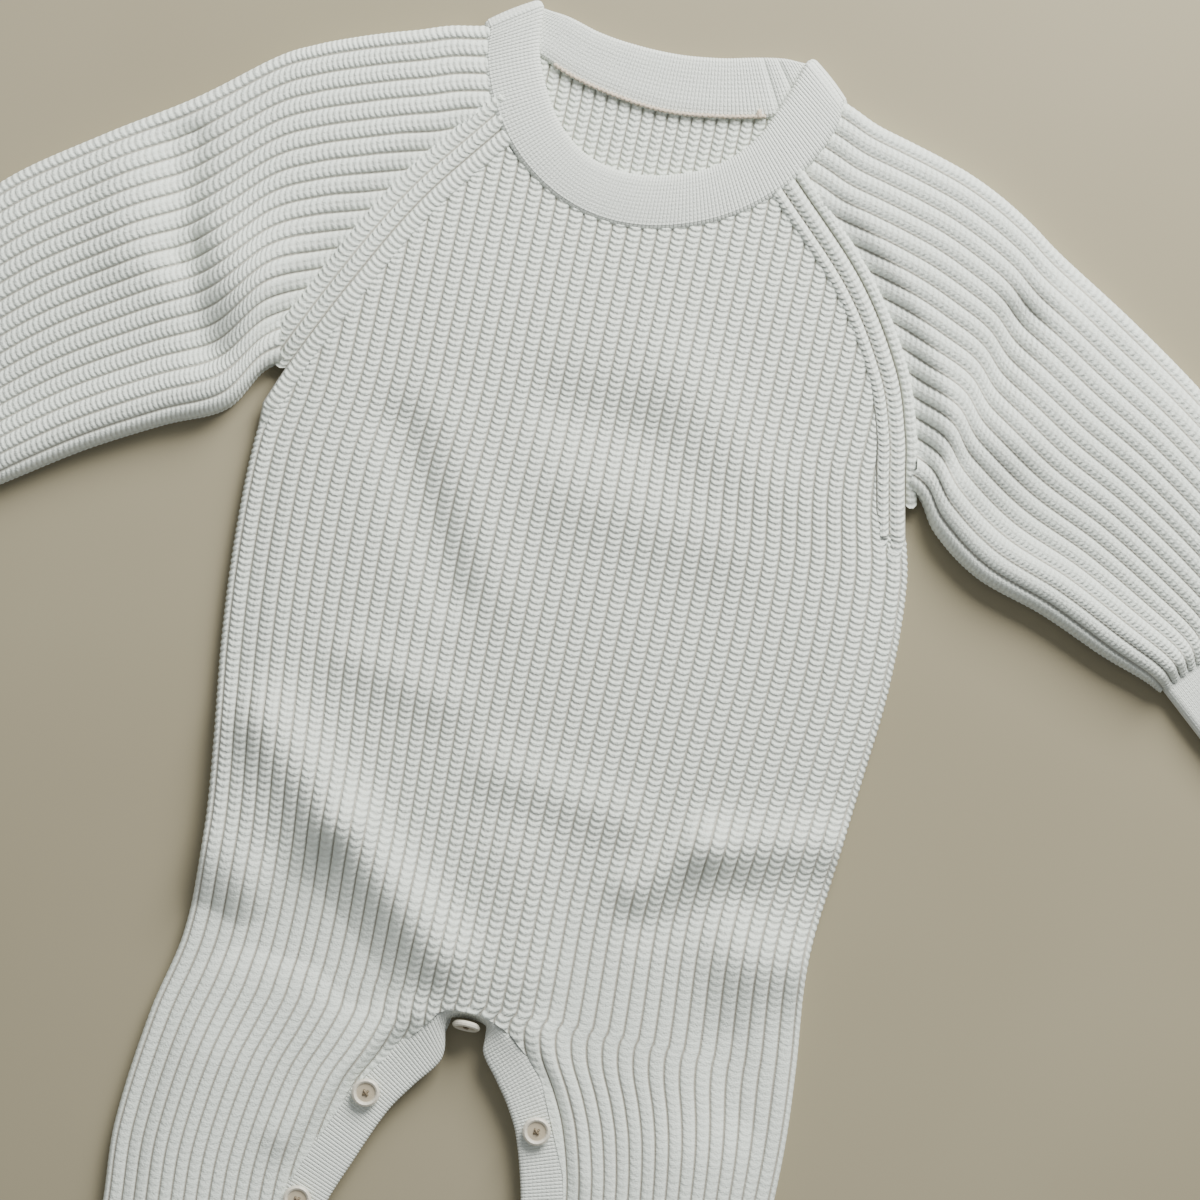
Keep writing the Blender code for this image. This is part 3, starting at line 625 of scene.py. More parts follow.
# Back panel. The same knit in one piece, lying flat on the surface under the front. Its inner
# face shows through the neck. It is pressed, without folds, and ends inside the front's edges.
BACK_INNER = (
    Inner(LEG_SEAM, -65.4, 65.4, 10.5, 9.5),
    Inner(-120, -61.4, 61.8, 9.2, 7.2),
    Inner(-79, -54.5, 57, 7.4, 5.6),
    Inner(-57, -46.9, 52.8, 6.6, 5.4),
    Inner(-35, -38, 46, 6.0, 5.2),
    Inner(-21, -30.6, 40, 5.4, 5.2),
    Inner(-6, -24.6, 32, 4.6, 4.9),
    Inner(8, -18.6, 23.4, 3.4, 3.9),
    Inner(17, -10.4, 12.4, 2.0, 2.2),
    Inner(20.9, 0.8, 0.8, 0, 0),
)
BACK_NECKLINE = (
    Top(-55.5, 363.5),
    Top(-38.4, 358.3),
    Top(-19, 354.4),
    Top(0, 353),
    Top(20, 355.4),
    Top(41, 360.3),
    Top(52.5, 364),
)
LEFT_BACK_RAGLAN = (
    Top(-125, 222),
    Top(-120, 231),
    Top(-100, 270),
    Top(-78, 318),
    Top(-55.5, 363.5),
)
RIGHT_BACK_RAGLAN = (
    Top(125, 222),
    Top(117, 241),
    Top(100, 279),
    Top(78, 322),
    Top(52.5, 364),
)
BACK_FACE = 2.9
BACK_RIBS = 24.5
BACK_TUCK = 6.0
BACK_TOP = 372
BACK_DEPTH = 1.6
BACK_PLACES = (0.0, 0.2, 0.5, 0.8)

ribs = rib_columns(-BACK_RIBS, BACK_RIBS, BACK_PLACES)
levels, counts = stitch_rows(LEG_SEAM, BACK_TOP)
ribs, levels = np.meshgrid(ribs, levels, indexing="ij")
stitches = np.broadcast_to(counts, ribs.shape)
levels = levels + bend(ribs) * smooth(GAUGE, "y", "stitch", levels)
x, outer, past_seam = panel_sheet(ribs, levels, BACK_INNER, BACK_RIBS)
points = np.stack([x, levels, np.full_like(x, BACK_FACE - BACK_DEPTH)], axis=2)
points = raise_ribs(points, ribs, stitches, BACK_DEPTH, STITCH_DEPTH)
inside = np.where(levels > BACK_INNER[-1].y, FADE, past_seam * TRIM_RIB)
inside = np.minimum(inside, smooth(BACK_NECKLINE, "x", "y", x) + BACK_TUCK - levels)
for line, sign in ((LEFT_BACK_RAGLAN, 1), (RIGHT_BACK_RAGLAN, -1)):
    clear = off_raglan(line, x, levels, sign)
    inside = np.where(levels > line[0].y, np.minimum(inside, clear), inside)
back = knit_piece("knit_back_panel", [trim(points, ribs, stitches, inside)], chunky)
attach(back, "root")
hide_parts("back_panel")


# Sleeves. Each is one piece whose ribs run from the cuff to the neck, folded over along the
# shoulder and closed under the arm. At the raglan seam its ribs end against the border ribs.
Sleeve = namedtuple("Sleeve", "t low_x low_y top_x top_y")
LEFT_SLEEVE = (
    Sleeve(0, -234, 150, -273.5, 200),
    Sleeve(1, -228, 154.5, -271.5, 222),
    Sleeve(2, -214, 164.5, -262, 249),
    Sleeve(3, -190, 181, -240, 275),
    Sleeve(4, -163, 196.5, -208, 299),
    Sleeve(5, -141, 207.5, -176.4, 320.5),
    Sleeve(6, -129, 226, -150, 342),
    Sleeve(7, -110, 236, -136, 350),
    Sleeve(8, -88, 243, -122, 356),
    Sleeve(9, -70, 249, -110, 360.4),
    Sleeve(10, -57, 253, -99, 364),
    Sleeve(11, -46, 258, -88, 368),
    Sleeve(12, -34, 262, -76.6, 370.6),
    Sleeve(13, -22, 266, -64, 374.6),
)
RIGHT_SLEEVE = (
    Sleeve(0, 234, 179, 275, 228),
    Sleeve(1, 226, 182.5, 272.5, 248),
    Sleeve(2, 209, 188, 255, 269),
    Sleeve(3, 183, 198.4, 224.1, 293),
    Sleeve(4, 156, 206.6, 192, 314),
    Sleeve(5, 137, 219.4, 160.2, 332.6),
    Sleeve(6, 127, 232, 146, 342),
    Sleeve(7, 111, 238, 132.7, 349.6),
    Sleeve(8, 97, 243, 119, 355.6),
    Sleeve(9, 83, 247, 106, 359.6),
    Sleeve(10, 70, 250, 93, 363),
    Sleeve(11, 56, 253, 80, 366.4),
    Sleeve(12, 46, 257, 69.2, 371),
    Sleeve(13, 36, 261, 57.5, 375.4),
)
LEFT_FOLDS = (
    Fold(-178, 304, -168, 262, -4.4, 9),
    Fold(-168, 262, -150, 228, -3.8, 9),
    Fold(-146, 256, -122, 248, 6.0, 22),
    Fold(-200, 296, -190, 258, 2.4, 13),
    Fold(-250, 240, -200, 268, 1.4, 20),
)
RIGHT_FOLDS = (
    Fold(149, 304, 138, 250, -4.2, 9),
    Fold(134, 256, 118, 252, 6.0, 22),
    Fold(168, 316, 160, 262, 2.6, 13),
    Fold(250, 250, 210, 280, 1.4, 20),
)
SLEEVE_RIBS = 18.5
SLEEVE_STITCH = 2.4
# Along a sleeve t runs from 0 at the cuff to SLEEVE_END at the neck. The puff and the ridge by
# the lower edge grow from the cuff and have sunk by CAP_END, where the sleeve flattens
SLEEVE_PUFF, PUFF_RUN, PUFF_SHAPE = 3.0, 1.4, 0.7
LOWER_RIDGE, RIDGE_RUN, RIDGE_END, RIDGE_FADE = 4.2, 0.8, 6.5, 1.5
RIDGE_INSET, RIDGE_WIDTH = 9.0, 11.0
CAP_END, CAP_FADE = 12, 2.5
NECK_FROM, NECK_RUN, NECK_FLATTEN = 11.3, 1.4, 0.75
DEEPEST, SLEEVE_CLEAR = -1.5, 0.4
FOLD_ROUND = 3.4
MID_HEIGHT = 3.75
SLEEVE_END = 13
ARMPIT = 6.3
SEAM_BLEND, BLEND_RUN = 14.0, 1.5
SLEEVE_RUN = (226, 346)
LOW_SHARE, STITCH_SHARE = 0.4, 0.6


def sleeve_sheet(rows, ribs, t, folds):
    """Points of a sleeve, front ribs positive and back ribs negative, from the shoulder fold."""
    low = np.stack([smooth(rows, "t", "low_x", t), smooth(rows, "t", "low_y", t)], axis=2)
    top = np.stack([smooth(rows, "t", "top_x", t), smooth(rows, "t", "top_y", t)], axis=2)
    span = np.linalg.norm(low - top, axis=2)
    shoulder = FOLD_ROUND * pi / 2
    lower_edge = EDGE_DROP + EDGE_ROUND * pi / 2
    arc = shoulder + (span - FOLD_ROUND - EDGE_ROUND) + lower_edge
    walk = np.abs(ribs) / SLEEVE_RIBS * arc
    turn = np.clip(walk / FOLD_ROUND, 0, pi / 2)
    inset = FOLD_ROUND * (1 - np.cos(turn)) + np.maximum(walk - shoulder, 0)
    rise = FOLD_ROUND * np.sin(turn)
    left = arc - walk
    down = np.clip((left - EDGE_DROP) / EDGE_ROUND, 0, pi / 2)
    low_inset = span - EDGE_ROUND * (1 - np.cos(down))
    wraps = (left < lower_edge) & (ribs > 0)
    inset = np.where(wraps, low_inset, np.minimum(inset, span))
    fall = EDGE_ROUND * (1 - np.sin(down)) + np.clip(EDGE_DROP - left, 0, None)
    drop = np.where(wraps, fall, 0)
    share = inset / span
    plan = top + (low - top) * share[..., None]
    x, y = plan[..., 0], plan[..., 1]
    arch = np.sin(pi * np.clip(share, 0, 1)) ** PUFF_SHAPE
    swell = SLEEVE_PUFF * arch * np.clip(t / PUFF_RUN, 0, 1)
    ridge = LOWER_RIDGE * np.exp(-(((span - inset - RIDGE_INSET) / RIDGE_WIDTH) ** 2))
    ridge *= ease(t / RIDGE_RUN) * ease((RIDGE_END - t) / RIDGE_FADE)
    fade = ease(np.minimum(inset, span - inset) / FADE)
    cap = ease((CAP_END - t) / CAP_FADE)
    lift = (swell + ridge + fold_height(folds, x, y) * fade) * cap * (ribs > 0)
    rise = rise * (1 - NECK_FLATTEN * ease((t - NECK_FROM) / NECK_RUN))
    z = MID_HEIGHT + np.where(ribs > 0, 1, -1) * rise + np.maximum(lift, DEEPEST)
    z = z - drop * np.maximum(z - SLEEVE_CLEAR, 0) / (EDGE_ROUND + EDGE_DROP)
    return np.stack([x, y, z], axis=2)


def sleeve_rows(rows):
    """Lengths walked up a sleeve, near its middle, and the places t that they reach."""
    t = np.arange(0, SLEEVE_END + 0.01, 0.05)
    x = smooth(rows, "t", "low_x", t) * LOW_SHARE + smooth(rows, "t", "top_x", t) * (1 - LOW_SHARE)
    y = smooth(rows, "t", "low_y", t) * LOW_SHARE + smooth(rows, "t", "top_y", t) * (1 - LOW_SHARE)
    walked = np.concatenate([[0], np.cumsum(np.hypot(np.diff(x), np.diff(y)))])
    return walked, t


pressed = yarn_material(
    "sleeve_rib", YARN, YARN_PAINTED_SHADE, CHUNKY_GROOVE, 0.3, 0.35, 1500, flat_legs=False
)
for name, rows, folds, line, back_line, sign, widths in (
    ("left_sleeve", LEFT_SLEEVE, LEFT_FOLDS, LEFT_RAGLAN, LEFT_BACK_RAGLAN, -1, (5.8, 6.6)),
    ("right_sleeve", RIGHT_SLEEVE, RIGHT_FOLDS, RIGHT_RAGLAN, RIGHT_BACK_RAGLAN, 1, (4.8,)),
):
    walked, t = sleeve_rows(rows)
    ribs = rib_columns(-SLEEVE_RIBS, SLEEVE_RIBS)
    counts = np.arange(0, walked[-1] / SLEEVE_STITCH, 0.5)
    ribs, counts = np.meshgrid(ribs, counts, indexing="ij")
    at = np.interp((counts + bend(ribs)) * SLEEVE_STITCH, walked, t)
    points = sleeve_sheet(rows, ribs, at, folds)
    x, y = points[..., 0], points[..., 1]
    front_clear = off_raglan(line, x, y, sign) - sum(widths) + TUCK
    back_clear = off_raglan(back_line, x, y, sign)
    inside = np.where(ribs > 0, front_clear, back_clear)
    inside = np.where(at < ARMPIT, FADE, inside)
    meets = ease(1 - front_clear / SEAM_BLEND) * ease((at - ARMPIT + BLEND_RUN) / BLEND_RUN)
    meets *= ease(ribs / 2) * ease((SLEEVE_RIBS - 1 - ribs) / 2) * ease((CAP_END - at) / BLEND_RUN)
    points[..., 2] += (body_border_height(x, y) - RIB_DEPTH - points[..., 2]) * meets
    shown = -sign * STITCH_DEPTH * STITCH_SHARE
    points = raise_ribs(points, ribs, counts, -sign * RIB_DEPTH, shown)
    sleeve = knit_piece(
        "knit_" + name,
        [
            trim(points, ribs, counts, inside),
            border_sheet(line, sign, widths, *SLEEVE_RUN, body_border_height),
        ],
        pressed,
    )
    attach(sleeve, "root")
    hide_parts(name)


# Neck band. One strip of fine 1x1 rib, doubled, sewn round the neckline. It folds at both
# shoulders, so its front lies outside up and its back shows its inner face through the neck.
Strip = namedtuple("Strip", "free_x free_y seam_x seam_y")
NECK_FRONT = (
    Strip(-54.4, 383.5, -74.2, 370),
    Strip(-52.8, 368.2, -72.8, 358.6),
    Strip(-46.2, 352.5, -65.6, 341.3),
    Strip(-37, 339.5, -52.3, 324.6),
    Strip(-24, 330.9, -33.5, 312.4),
    Strip(-9, 328.4, -13, 307.4),
    Strip(7, 331.2, 9, 309.6),
    Strip(22.8, 338.3, 31.5, 318.9),
    Strip(35.1, 350.5, 49.6, 333.6),
    Strip(42.3, 365.4, 60.6, 350.4),
    Strip(46.6, 378.4, 65.8, 364),
    Strip(48.4, 384.6, 65.6, 370.2),
)
NECK_BACK = (
    Strip(48.4, 384.6, 65.6, 370.2),
    Strip(40, 384.6, 56, 366.2),
    Strip(30, 382.8, 41, 361.2),
    Strip(16, 379.5, 20, 356.4),
    Strip(0, 377.4, 0, 354),
    Strip(-16, 377.4, -19, 355.4),
    Strip(-31, 379, -38, 359.3),
    Strip(-44, 382.3, -54.4, 365.4),
    Strip(-54.4, 383.5, -74.2, 370),
)
NECK_UNDER, NECK_OVER, SHOULDER_LIFT = NECK_WALL / 2, 5.9, 0.7
SHOULDER_SINK = 2.0
ROLL_OUT = 1.5
NECK_CROWN = 0.7
# The strip thins where it rolls over at a shoulder, and dips at the two grooves of its join
ROLL_THIN, ROLL_REACH, ROLL_SHARP = 0.55, 16, 2.2
JOINS = (31.5, 37.0)
JOIN_DIP, JOIN_WIDTH = 0.38, 0.9
FINE_RIB = 1.35
FINE_STITCH = 1.6
FINE_DEPTH = 0.18
FINE_PLACES = (0.0, 0.25, 0.5, 0.75)
FINE_SHAPE = ((0.0, 0.0), (0.25, 0.8), (0.5, 1.0), (0.75, 0.8), (1.0, 0.0))
# Where a fine groove starts, how dark the shade painted into it is and how deep its bump is
FINE_GROOVE = (0.35, 0.3, 0.12)
# The fine yarn's own colour, and the painted shade colour that its grooves and stitch gaps blend
# towards
SHEER = (0.755, 0.79, 0.71, 1)
SHEER_PAINTED_SHADE = (0.52, 0.495, 0.42, 1)

fine = yarn_material(
    "fine_rib", SHEER, SHEER_PAINTED_SHADE, FINE_GROOVE, 0.14, 0.12, 2200, flat_legs=False
)


def smooth_path(stations, at):
    """Points on a smooth curve through stations, at shares 0 to 1 of its length."""
    steps = np.linalg.norm(np.diff(stations.mean(axis=1), axis=0), axis=1)
    walked = np.concatenate([[0], np.cumsum(np.maximum(steps, 0.5))])
    walked /= walked[-1]
    low = np.maximum(np.arange(len(walked)) - 1, 0)
    high = np.minimum(np.arange(len(walked)) + 1, len(walked) - 1)
    slopes = (stations[high] - stations[low]) / (walked[high] - walked[low])[:, None, None]
    if np.allclose(stations[0], stations[-1]):
        ends = (stations[1] - stations[-2]) / (walked[1] + 1 - walked[-2])
        slopes[0], slopes[-1] = ends, ends
    i = np.clip(np.searchsorted(walked, at, side="right") - 1, 0, len(walked) - 2)
    span = (walked[i + 1] - walked[i])[:, None, None]
    t = (at - walked[i])[:, None, None] / span
    ends = (2 * t**3 - 3 * t**2 + 1) * stations[i] + (3 * t**2 - 2 * t**3) * stations[i + 1]
    return ends + span * ((t**3 - 2 * t**2 + t) * slopes[i] + (t**3 - t**2) * slopes[i + 1])


def band_outline(width, wall, crown):
    """Round a doubled strip's section: places across it from the free edge, and heights."""
    half = wall / 2
    flat = np.linspace(width - half, half, 9)
    arch = half + crown * np.sin(pi * flat / width)
    roll = np.linspace(pi / 2, -pi / 2, 7)[1:-1]
    under = np.linspace(half, width - half, 5)
    seam = np.linspace(-pi / 2, pi / 2, 5)[1:]
    across = np.concatenate(
        [flat, half - half * np.cos(roll), under, width - half + half * np.cos(seam)]
    )
    height = np.concatenate([arch, half * np.sin(roll), -half + 0 * under, half * np.sin(seam)])
    return across, height


def band_sheet(stations, wall, crown, capped, joins=()):
    """A doubled strip of fine rib along stations of (free, seam) edge points."""
    rough = smooth_path(stations, np.linspace(0, 1, 400))
    length = np.linalg.norm(np.diff(rough.mean(axis=1), axis=0), axis=1).sum()
    count = round(length / FINE_RIB)
    ribs = rib_columns(0, count, FINE_PLACES)
    edges = smooth_path(stations, ribs / count)
    free, seam = edges[:, 0], edges[:, 1]
    width = np.linalg.norm(seam - free, axis=1, keepdims=True)
    across = (seam - free) / width
    along = np.gradient((free + seam) / 2, axis=0)
    normal = np.cross(across, along)
    normal /= np.maximum(np.linalg.norm(normal, axis=1, keepdims=True), 1e-9)
    places, heights = band_outline(1.0, wall / width.mean(), crown / width.mean())
    rise = np.interp(ribs - np.floor(ribs), *zip(*FINE_SHAPE)) * FINE_DEPTH
    out = np.gradient(places), np.gradient(heights)
    size = np.hypot(*out)
    out_place, out_height = -out[1] / size, out[0] / size
    swell = (rise - FINE_DEPTH)[:, None]
    place = places[None, :] * width - swell * out_place
    height = heights[None, :] * width.mean() - swell * out_height
    thin = 1 - ROLL_THIN * ease(ROLL_SHARP * (1 - np.abs(normal[:, 2])))
    reach = np.ones(2 * ROLL_REACH + 1) / (2 * ROLL_REACH + 1)
    thin = np.convolve(np.pad(thin, ROLL_REACH, mode="wrap"), reach, mode="valid")
    for join in joins:
        on_back = (free[:, 1] > 375) & (free[:, 2] < NECK_WALL)
        thin = thin - on_back * JOIN_DIP * np.exp(-(((free[:, 0] - join) / JOIN_WIDTH) ** 2))
    height *= thin[:, None]
    if capped:
        height[[0, -1]] = 0
    points = free[:, None] + across[:, None] * place[..., None]
    points = points + normal[:, None] * height[..., None]
    walked = np.concatenate([[0], np.cumsum(np.hypot(np.diff(places), np.diff(heights)))])
    ribs, stitches = np.meshgrid(ribs, walked * width.mean() / FINE_STITCH, indexing="ij")
    return whole(points, ribs, stitches)


def neck_stations():
    """(free, seam) edge points once round the neck band, over both shoulder folds."""
    stations = []

    def add(row, z, shift=(0, 0, 0)):
        free = np.array((row.free_x, row.free_y, z)) + shift
        stations.append((free, np.array((row.seam_x, row.seam_y, z)) + shift))

    def fold_over(row, turns):
        outward = np.array((row.free_y - row.seam_y, row.seam_x - row.free_x, 0))
        outward *= np.sign(outward[1]) / np.linalg.norm(outward)
        top = NECK_OVER + SHOULDER_LIFT - SHOULDER_SINK
        radius, centre = (top - NECK_UNDER) / 2, (top + NECK_UNDER) / 2
        for turn in turns:
            add(row, centre + radius * sin(turn), outward * ROLL_OUT * radius * cos(turn))

    half = abs(NECK_FRONT[0].free_x)
    for row in NECK_FRONT:
        out = min(abs(row.free_x) / half, 1)
        add(row, NECK_OVER + SHOULDER_LIFT * out**2 - SHOULDER_SINK * out**8)
    fold_over(NECK_FRONT[-1], (pi / 3, pi / 8, -pi / 8, -pi / 3))
    for row in NECK_BACK:
        add(row, NECK_UNDER)
    fold_over(NECK_BACK[-1], (-pi / 3, -pi / 8, pi / 8, pi / 3))
    stations.append(stations[0])
    return np.array(stations)


neck = knit_piece(
    "knit_neck_band",
    [band_sheet(neck_stations(), NECK_WALL, NECK_CROWN, capped=False, joins=JOINS)],
    fine,
)
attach(neck, "root")
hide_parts("neck_band")

# The tan chain of linking thread along the back seam, and the knot that ends it at the join
CHAIN_X = (-46, 38)
CHAIN_LIFT, CHAIN_IN = 4.2, 0.8
CHAIN_RADIUS, CHAIN_LINK, CHAIN_SWAY, CHAIN_DIP = 0.6, 1.9, 0.35, 0.15
KNOT_AT, KNOT_SIZE = (35.0, 361.4, 4.3), (1.0, 2.0, 0.8)
TAN = (0.66, 0.57, 0.45, 1)
TAN_DARK = (0.50, 0.41, 0.30, 1)

thread = bpy.data.materials.new("linking_thread")
thread.use_nodes = True
shader = thread.node_tree.nodes["Principled BSDF"]
wire = Wire(thread.node_tree)
place = wire.node("ShaderNodeTexCoord", {}, {}, output="Object")
ply = wire.node("ShaderNodeTexNoise", {}, {"Vector": place, "Scale": 1400.0, "Detail": 3.0})
tone = ply.between(0.35, 0.7).blend(TAN, TAN_DARK)
bump = wire.node("ShaderNodeBump", {}, {"Strength": 0.6, "Distance": 0.0005, "Height": ply})
thread.node_tree.links.new(tone.socket, shader.inputs["Base Color"])
thread.node_tree.links.new(bump.socket, shader.inputs["Normal"])
shader.inputs["Roughness"].default_value = 0.9


def cord_mesh(name, path, radius, material, sides=8):
    """A round thread along a path in millimetres, closed at both ends."""
    path = np.array(path, float)
    along = np.gradient(path, axis=0)
    along /= np.linalg.norm(along, axis=1, keepdims=True)
    side = np.cross(along, (0, 0, 1))
    side /= np.maximum(np.linalg.norm(side, axis=1, keepdims=True), 1e-9)
    up = np.cross(side, along)
    turn = np.arange(sides) * 2 * pi / sides
    ring = side[:, None] * np.cos(turn)[:, None] + up[:, None] * np.sin(turn)[:, None]
    points = (path[:, None] + ring * radius).reshape(-1, 3)
    last = (len(path) - 1) * sides
    faces = []
    for low in range(0, last, sides):
        for k in range(sides):
            after = (k + 1) % sides
            faces.append((low + k, low + after, low + sides + after, low + sides + k))
    faces += [tuple(range(sides))[::-1], tuple(range(last, last + sides))]
    mesh = bpy.data.meshes.new(name)
    mesh.from_pydata(((points - MIDDLE) * MM).tolist(), [], faces)
    mesh.shade_smooth()
    mesh.materials.append(material)
    piece = bpy.data.objects.new(name, mesh)
    bpy.context.scene.collection.objects.link(piece)
    return piece


chain_x = np.arange(*CHAIN_X, 0.3)
seam = [Top(row.seam_x, row.seam_y) for row in NECK_BACK][::-1]
links = chain_x * 2 * pi / CHAIN_LINK
chain_y = smooth(seam, "x", "y", chain_x) + CHAIN_IN + CHAIN_SWAY * np.sin(links)
chain_z = CHAIN_LIFT + CHAIN_DIP * np.cos(links)
chain_path = np.stack([chain_x, chain_y, chain_z], axis=1)
chain = cord_mesh("neck_seam_chain", chain_path, CHAIN_RADIUS, thread)
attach(chain, "root")

bpy.ops.mesh.primitive_uv_sphere_add(segments=16, ring_count=10, radius=1)
knot = bpy.context.active_object
knot.name = "neck_seam_knot"
for vertex in knot.data.vertices:
    lump = 1 + 0.18 * sin(7 * vertex.co.x + 3) * cos(6 * vertex.co.y) + 0.1 * sin(9 * vertex.co.z)
    spot = np.array(KNOT_AT) + np.array(vertex.co) * lump * KNOT_SIZE
    vertex.co = (spot - MIDDLE) * MM
knot.data.shade_smooth()
knot.data.materials.append(thread)
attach(knot, "root")


# Button bands. Two doubled strips of the same fine rib, one sewn to the front's inner leg edge
# and one to the back's. Each runs from hem to hem over the crotch, with the front one on top,
# and the strip is folded along its free edge.
OVER_BAND, UNDER_BAND = BAND_WALL * 1.5 + 1.0, BAND_WALL / 2
BAND_CROWN = 0.6
Band = namedtuple("Band", "seam_x seam_y seam_z free_x free_y free_z")
FRONT_BAND = (
    Band(-65, HEM, OVER_BAND, -47.5, HEM, OVER_BAND),
    Band(-64.6, -165, OVER_BAND, -47, -163, OVER_BAND),
    Band(-61, -121, OVER_BAND, -43, -118, OVER_BAND),
    Band(-54, -79, OVER_BAND, -37.3, -84.5, OVER_BAND),
    Band(-46, -57, OVER_BAND, -30, -64, OVER_BAND),
    Band(-36.5, -35, OVER_BAND, -21.4, -43, OVER_BAND),
    Band(-27, -21, OVER_BAND + 0.5, -13.4, -30.5, OVER_BAND),
    Band(-18.8, -9.4, OVER_BAND + 2.4, -6.4, -21, OVER_BAND),
    Band(-13.8, -3.4, OVER_BAND + 3.8, -5.2, -15.5, OVER_BAND - 0.2),
    Band(-10, -0.4, 11.2, -7.0, -8, 5.6),
    Band(-5.6, 1.5, 12.0, -6.6, -3, 5.6),
    Band(0.8, 2.0, 12.2, 1.0, -1.5, 2.8),
    Band(7.4, 1.5, 12.0, 8.8, -2.6, 5.6),
    Band(12.4, -0.4, 11.2, 9.2, -6.6, 5.6),
    Band(19.4, -4.0, OVER_BAND + 3.4, 9.6, -13.2, OVER_BAND - 0.2),
    Band(28.2, -10.8, OVER_BAND + 1.6, 16.6, -22.4, OVER_BAND),
    Band(37.2, -22, OVER_BAND + 0.3, 23.3, -31.6, OVER_BAND),
    Band(44.6, -35, OVER_BAND, 28.8, -42, OVER_BAND),
    Band(52, -57, OVER_BAND, 35, -62, OVER_BAND),
    Band(56.5, -79, OVER_BAND, 39, -82, OVER_BAND),
    Band(61.4, -121, OVER_BAND, 43.6, -121, OVER_BAND),
    Band(64.6, -165, OVER_BAND, 47, -165, OVER_BAND),
    Band(65, HEM, OVER_BAND, 47.5, HEM, OVER_BAND),
)
BACK_BAND = (
    Band(-65, HEM, UNDER_BAND, -48.5, HEM, UNDER_BAND),
    Band(-64.6, -165, UNDER_BAND, -48, -163, UNDER_BAND),
    Band(-61, -121, UNDER_BAND, -44, -118, UNDER_BAND),
    Band(-54, -79, UNDER_BAND, -38.3, -84, UNDER_BAND),
    Band(-46.3, -57, UNDER_BAND, -31, -63.4, UNDER_BAND),
    Band(-37.4, -35, UNDER_BAND, -22.4, -42, UNDER_BAND),
    Band(-30, -21, UNDER_BAND, -15, -30, UNDER_BAND),
    Band(-24, -6, UNDER_BAND, -8.6, -17.4, UNDER_BAND),
    Band(-18, 7.6, UNDER_BAND, -5.6, -6, UNDER_BAND),
    Band(-10, 16.5, UNDER_BAND, -4.4, 3.0, UNDER_BAND),
    Band(0.8, 20.2, UNDER_BAND, 1.2, 4.6, UNDER_BAND),
    Band(12, 16.5, UNDER_BAND, 7, 3.0, UNDER_BAND),
    Band(22.8, 7.6, UNDER_BAND, 9.4, -5, UNDER_BAND),
    Band(31.4, -6.2, UNDER_BAND, 15.6, -19, UNDER_BAND),
    Band(39.4, -21.4, UNDER_BAND, 24.4, -31.4, UNDER_BAND),
    Band(45.4, -35.4, UNDER_BAND, 29.8, -41.8, UNDER_BAND),
    Band(52.2, -57, UNDER_BAND, 36, -61.6, UNDER_BAND),
    Band(56.5, -79, UNDER_BAND, 40, -82, UNDER_BAND),
    Band(61.4, -121, UNDER_BAND, 44.6, -121, UNDER_BAND),
    Band(64.6, -165, UNDER_BAND, 48, -165, UNDER_BAND),
    Band(65, HEM, UNDER_BAND, 48.5, HEM, UNDER_BAND),
)
for name, rows, cut in (
    ("front_button_band", FRONT_BAND, (0.0306, 0.46)),
    ("back_button_band", BACK_BAND, (0.034, 0.479)),
):
    stations = np.array(
        [((r.free_x, r.free_y, r.free_z), (r.seam_x, r.seam_y, r.seam_z)) for r in rows]
    )
    band = knit_piece(
        "knit_" + name, [band_sheet(stations, BAND_WALL, BAND_CROWN, capped=True)], fine
    )
    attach(band, "root")
    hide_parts(name)


# Cuffs. Lengths of the fine rib, sewn to the sleeve and leg ends and turned in at their hems. A
# real ankle cuff opens with its leg along the button bands. Here each one is a closed tube that
# ends beside them.
CUFF_LENGTH, CUFF_PAST = 38.0, 1.8
CUFF_GAP = -3.0
CUFF_TAPER, CUFF_OFF_BAND = 2, 0.6
CUFF_ROUND = 3.5
CUFF_SWELL = 0.6
CUFF_TURN_IN = 7.0
CUFF_HEM_ROUND = 1.3


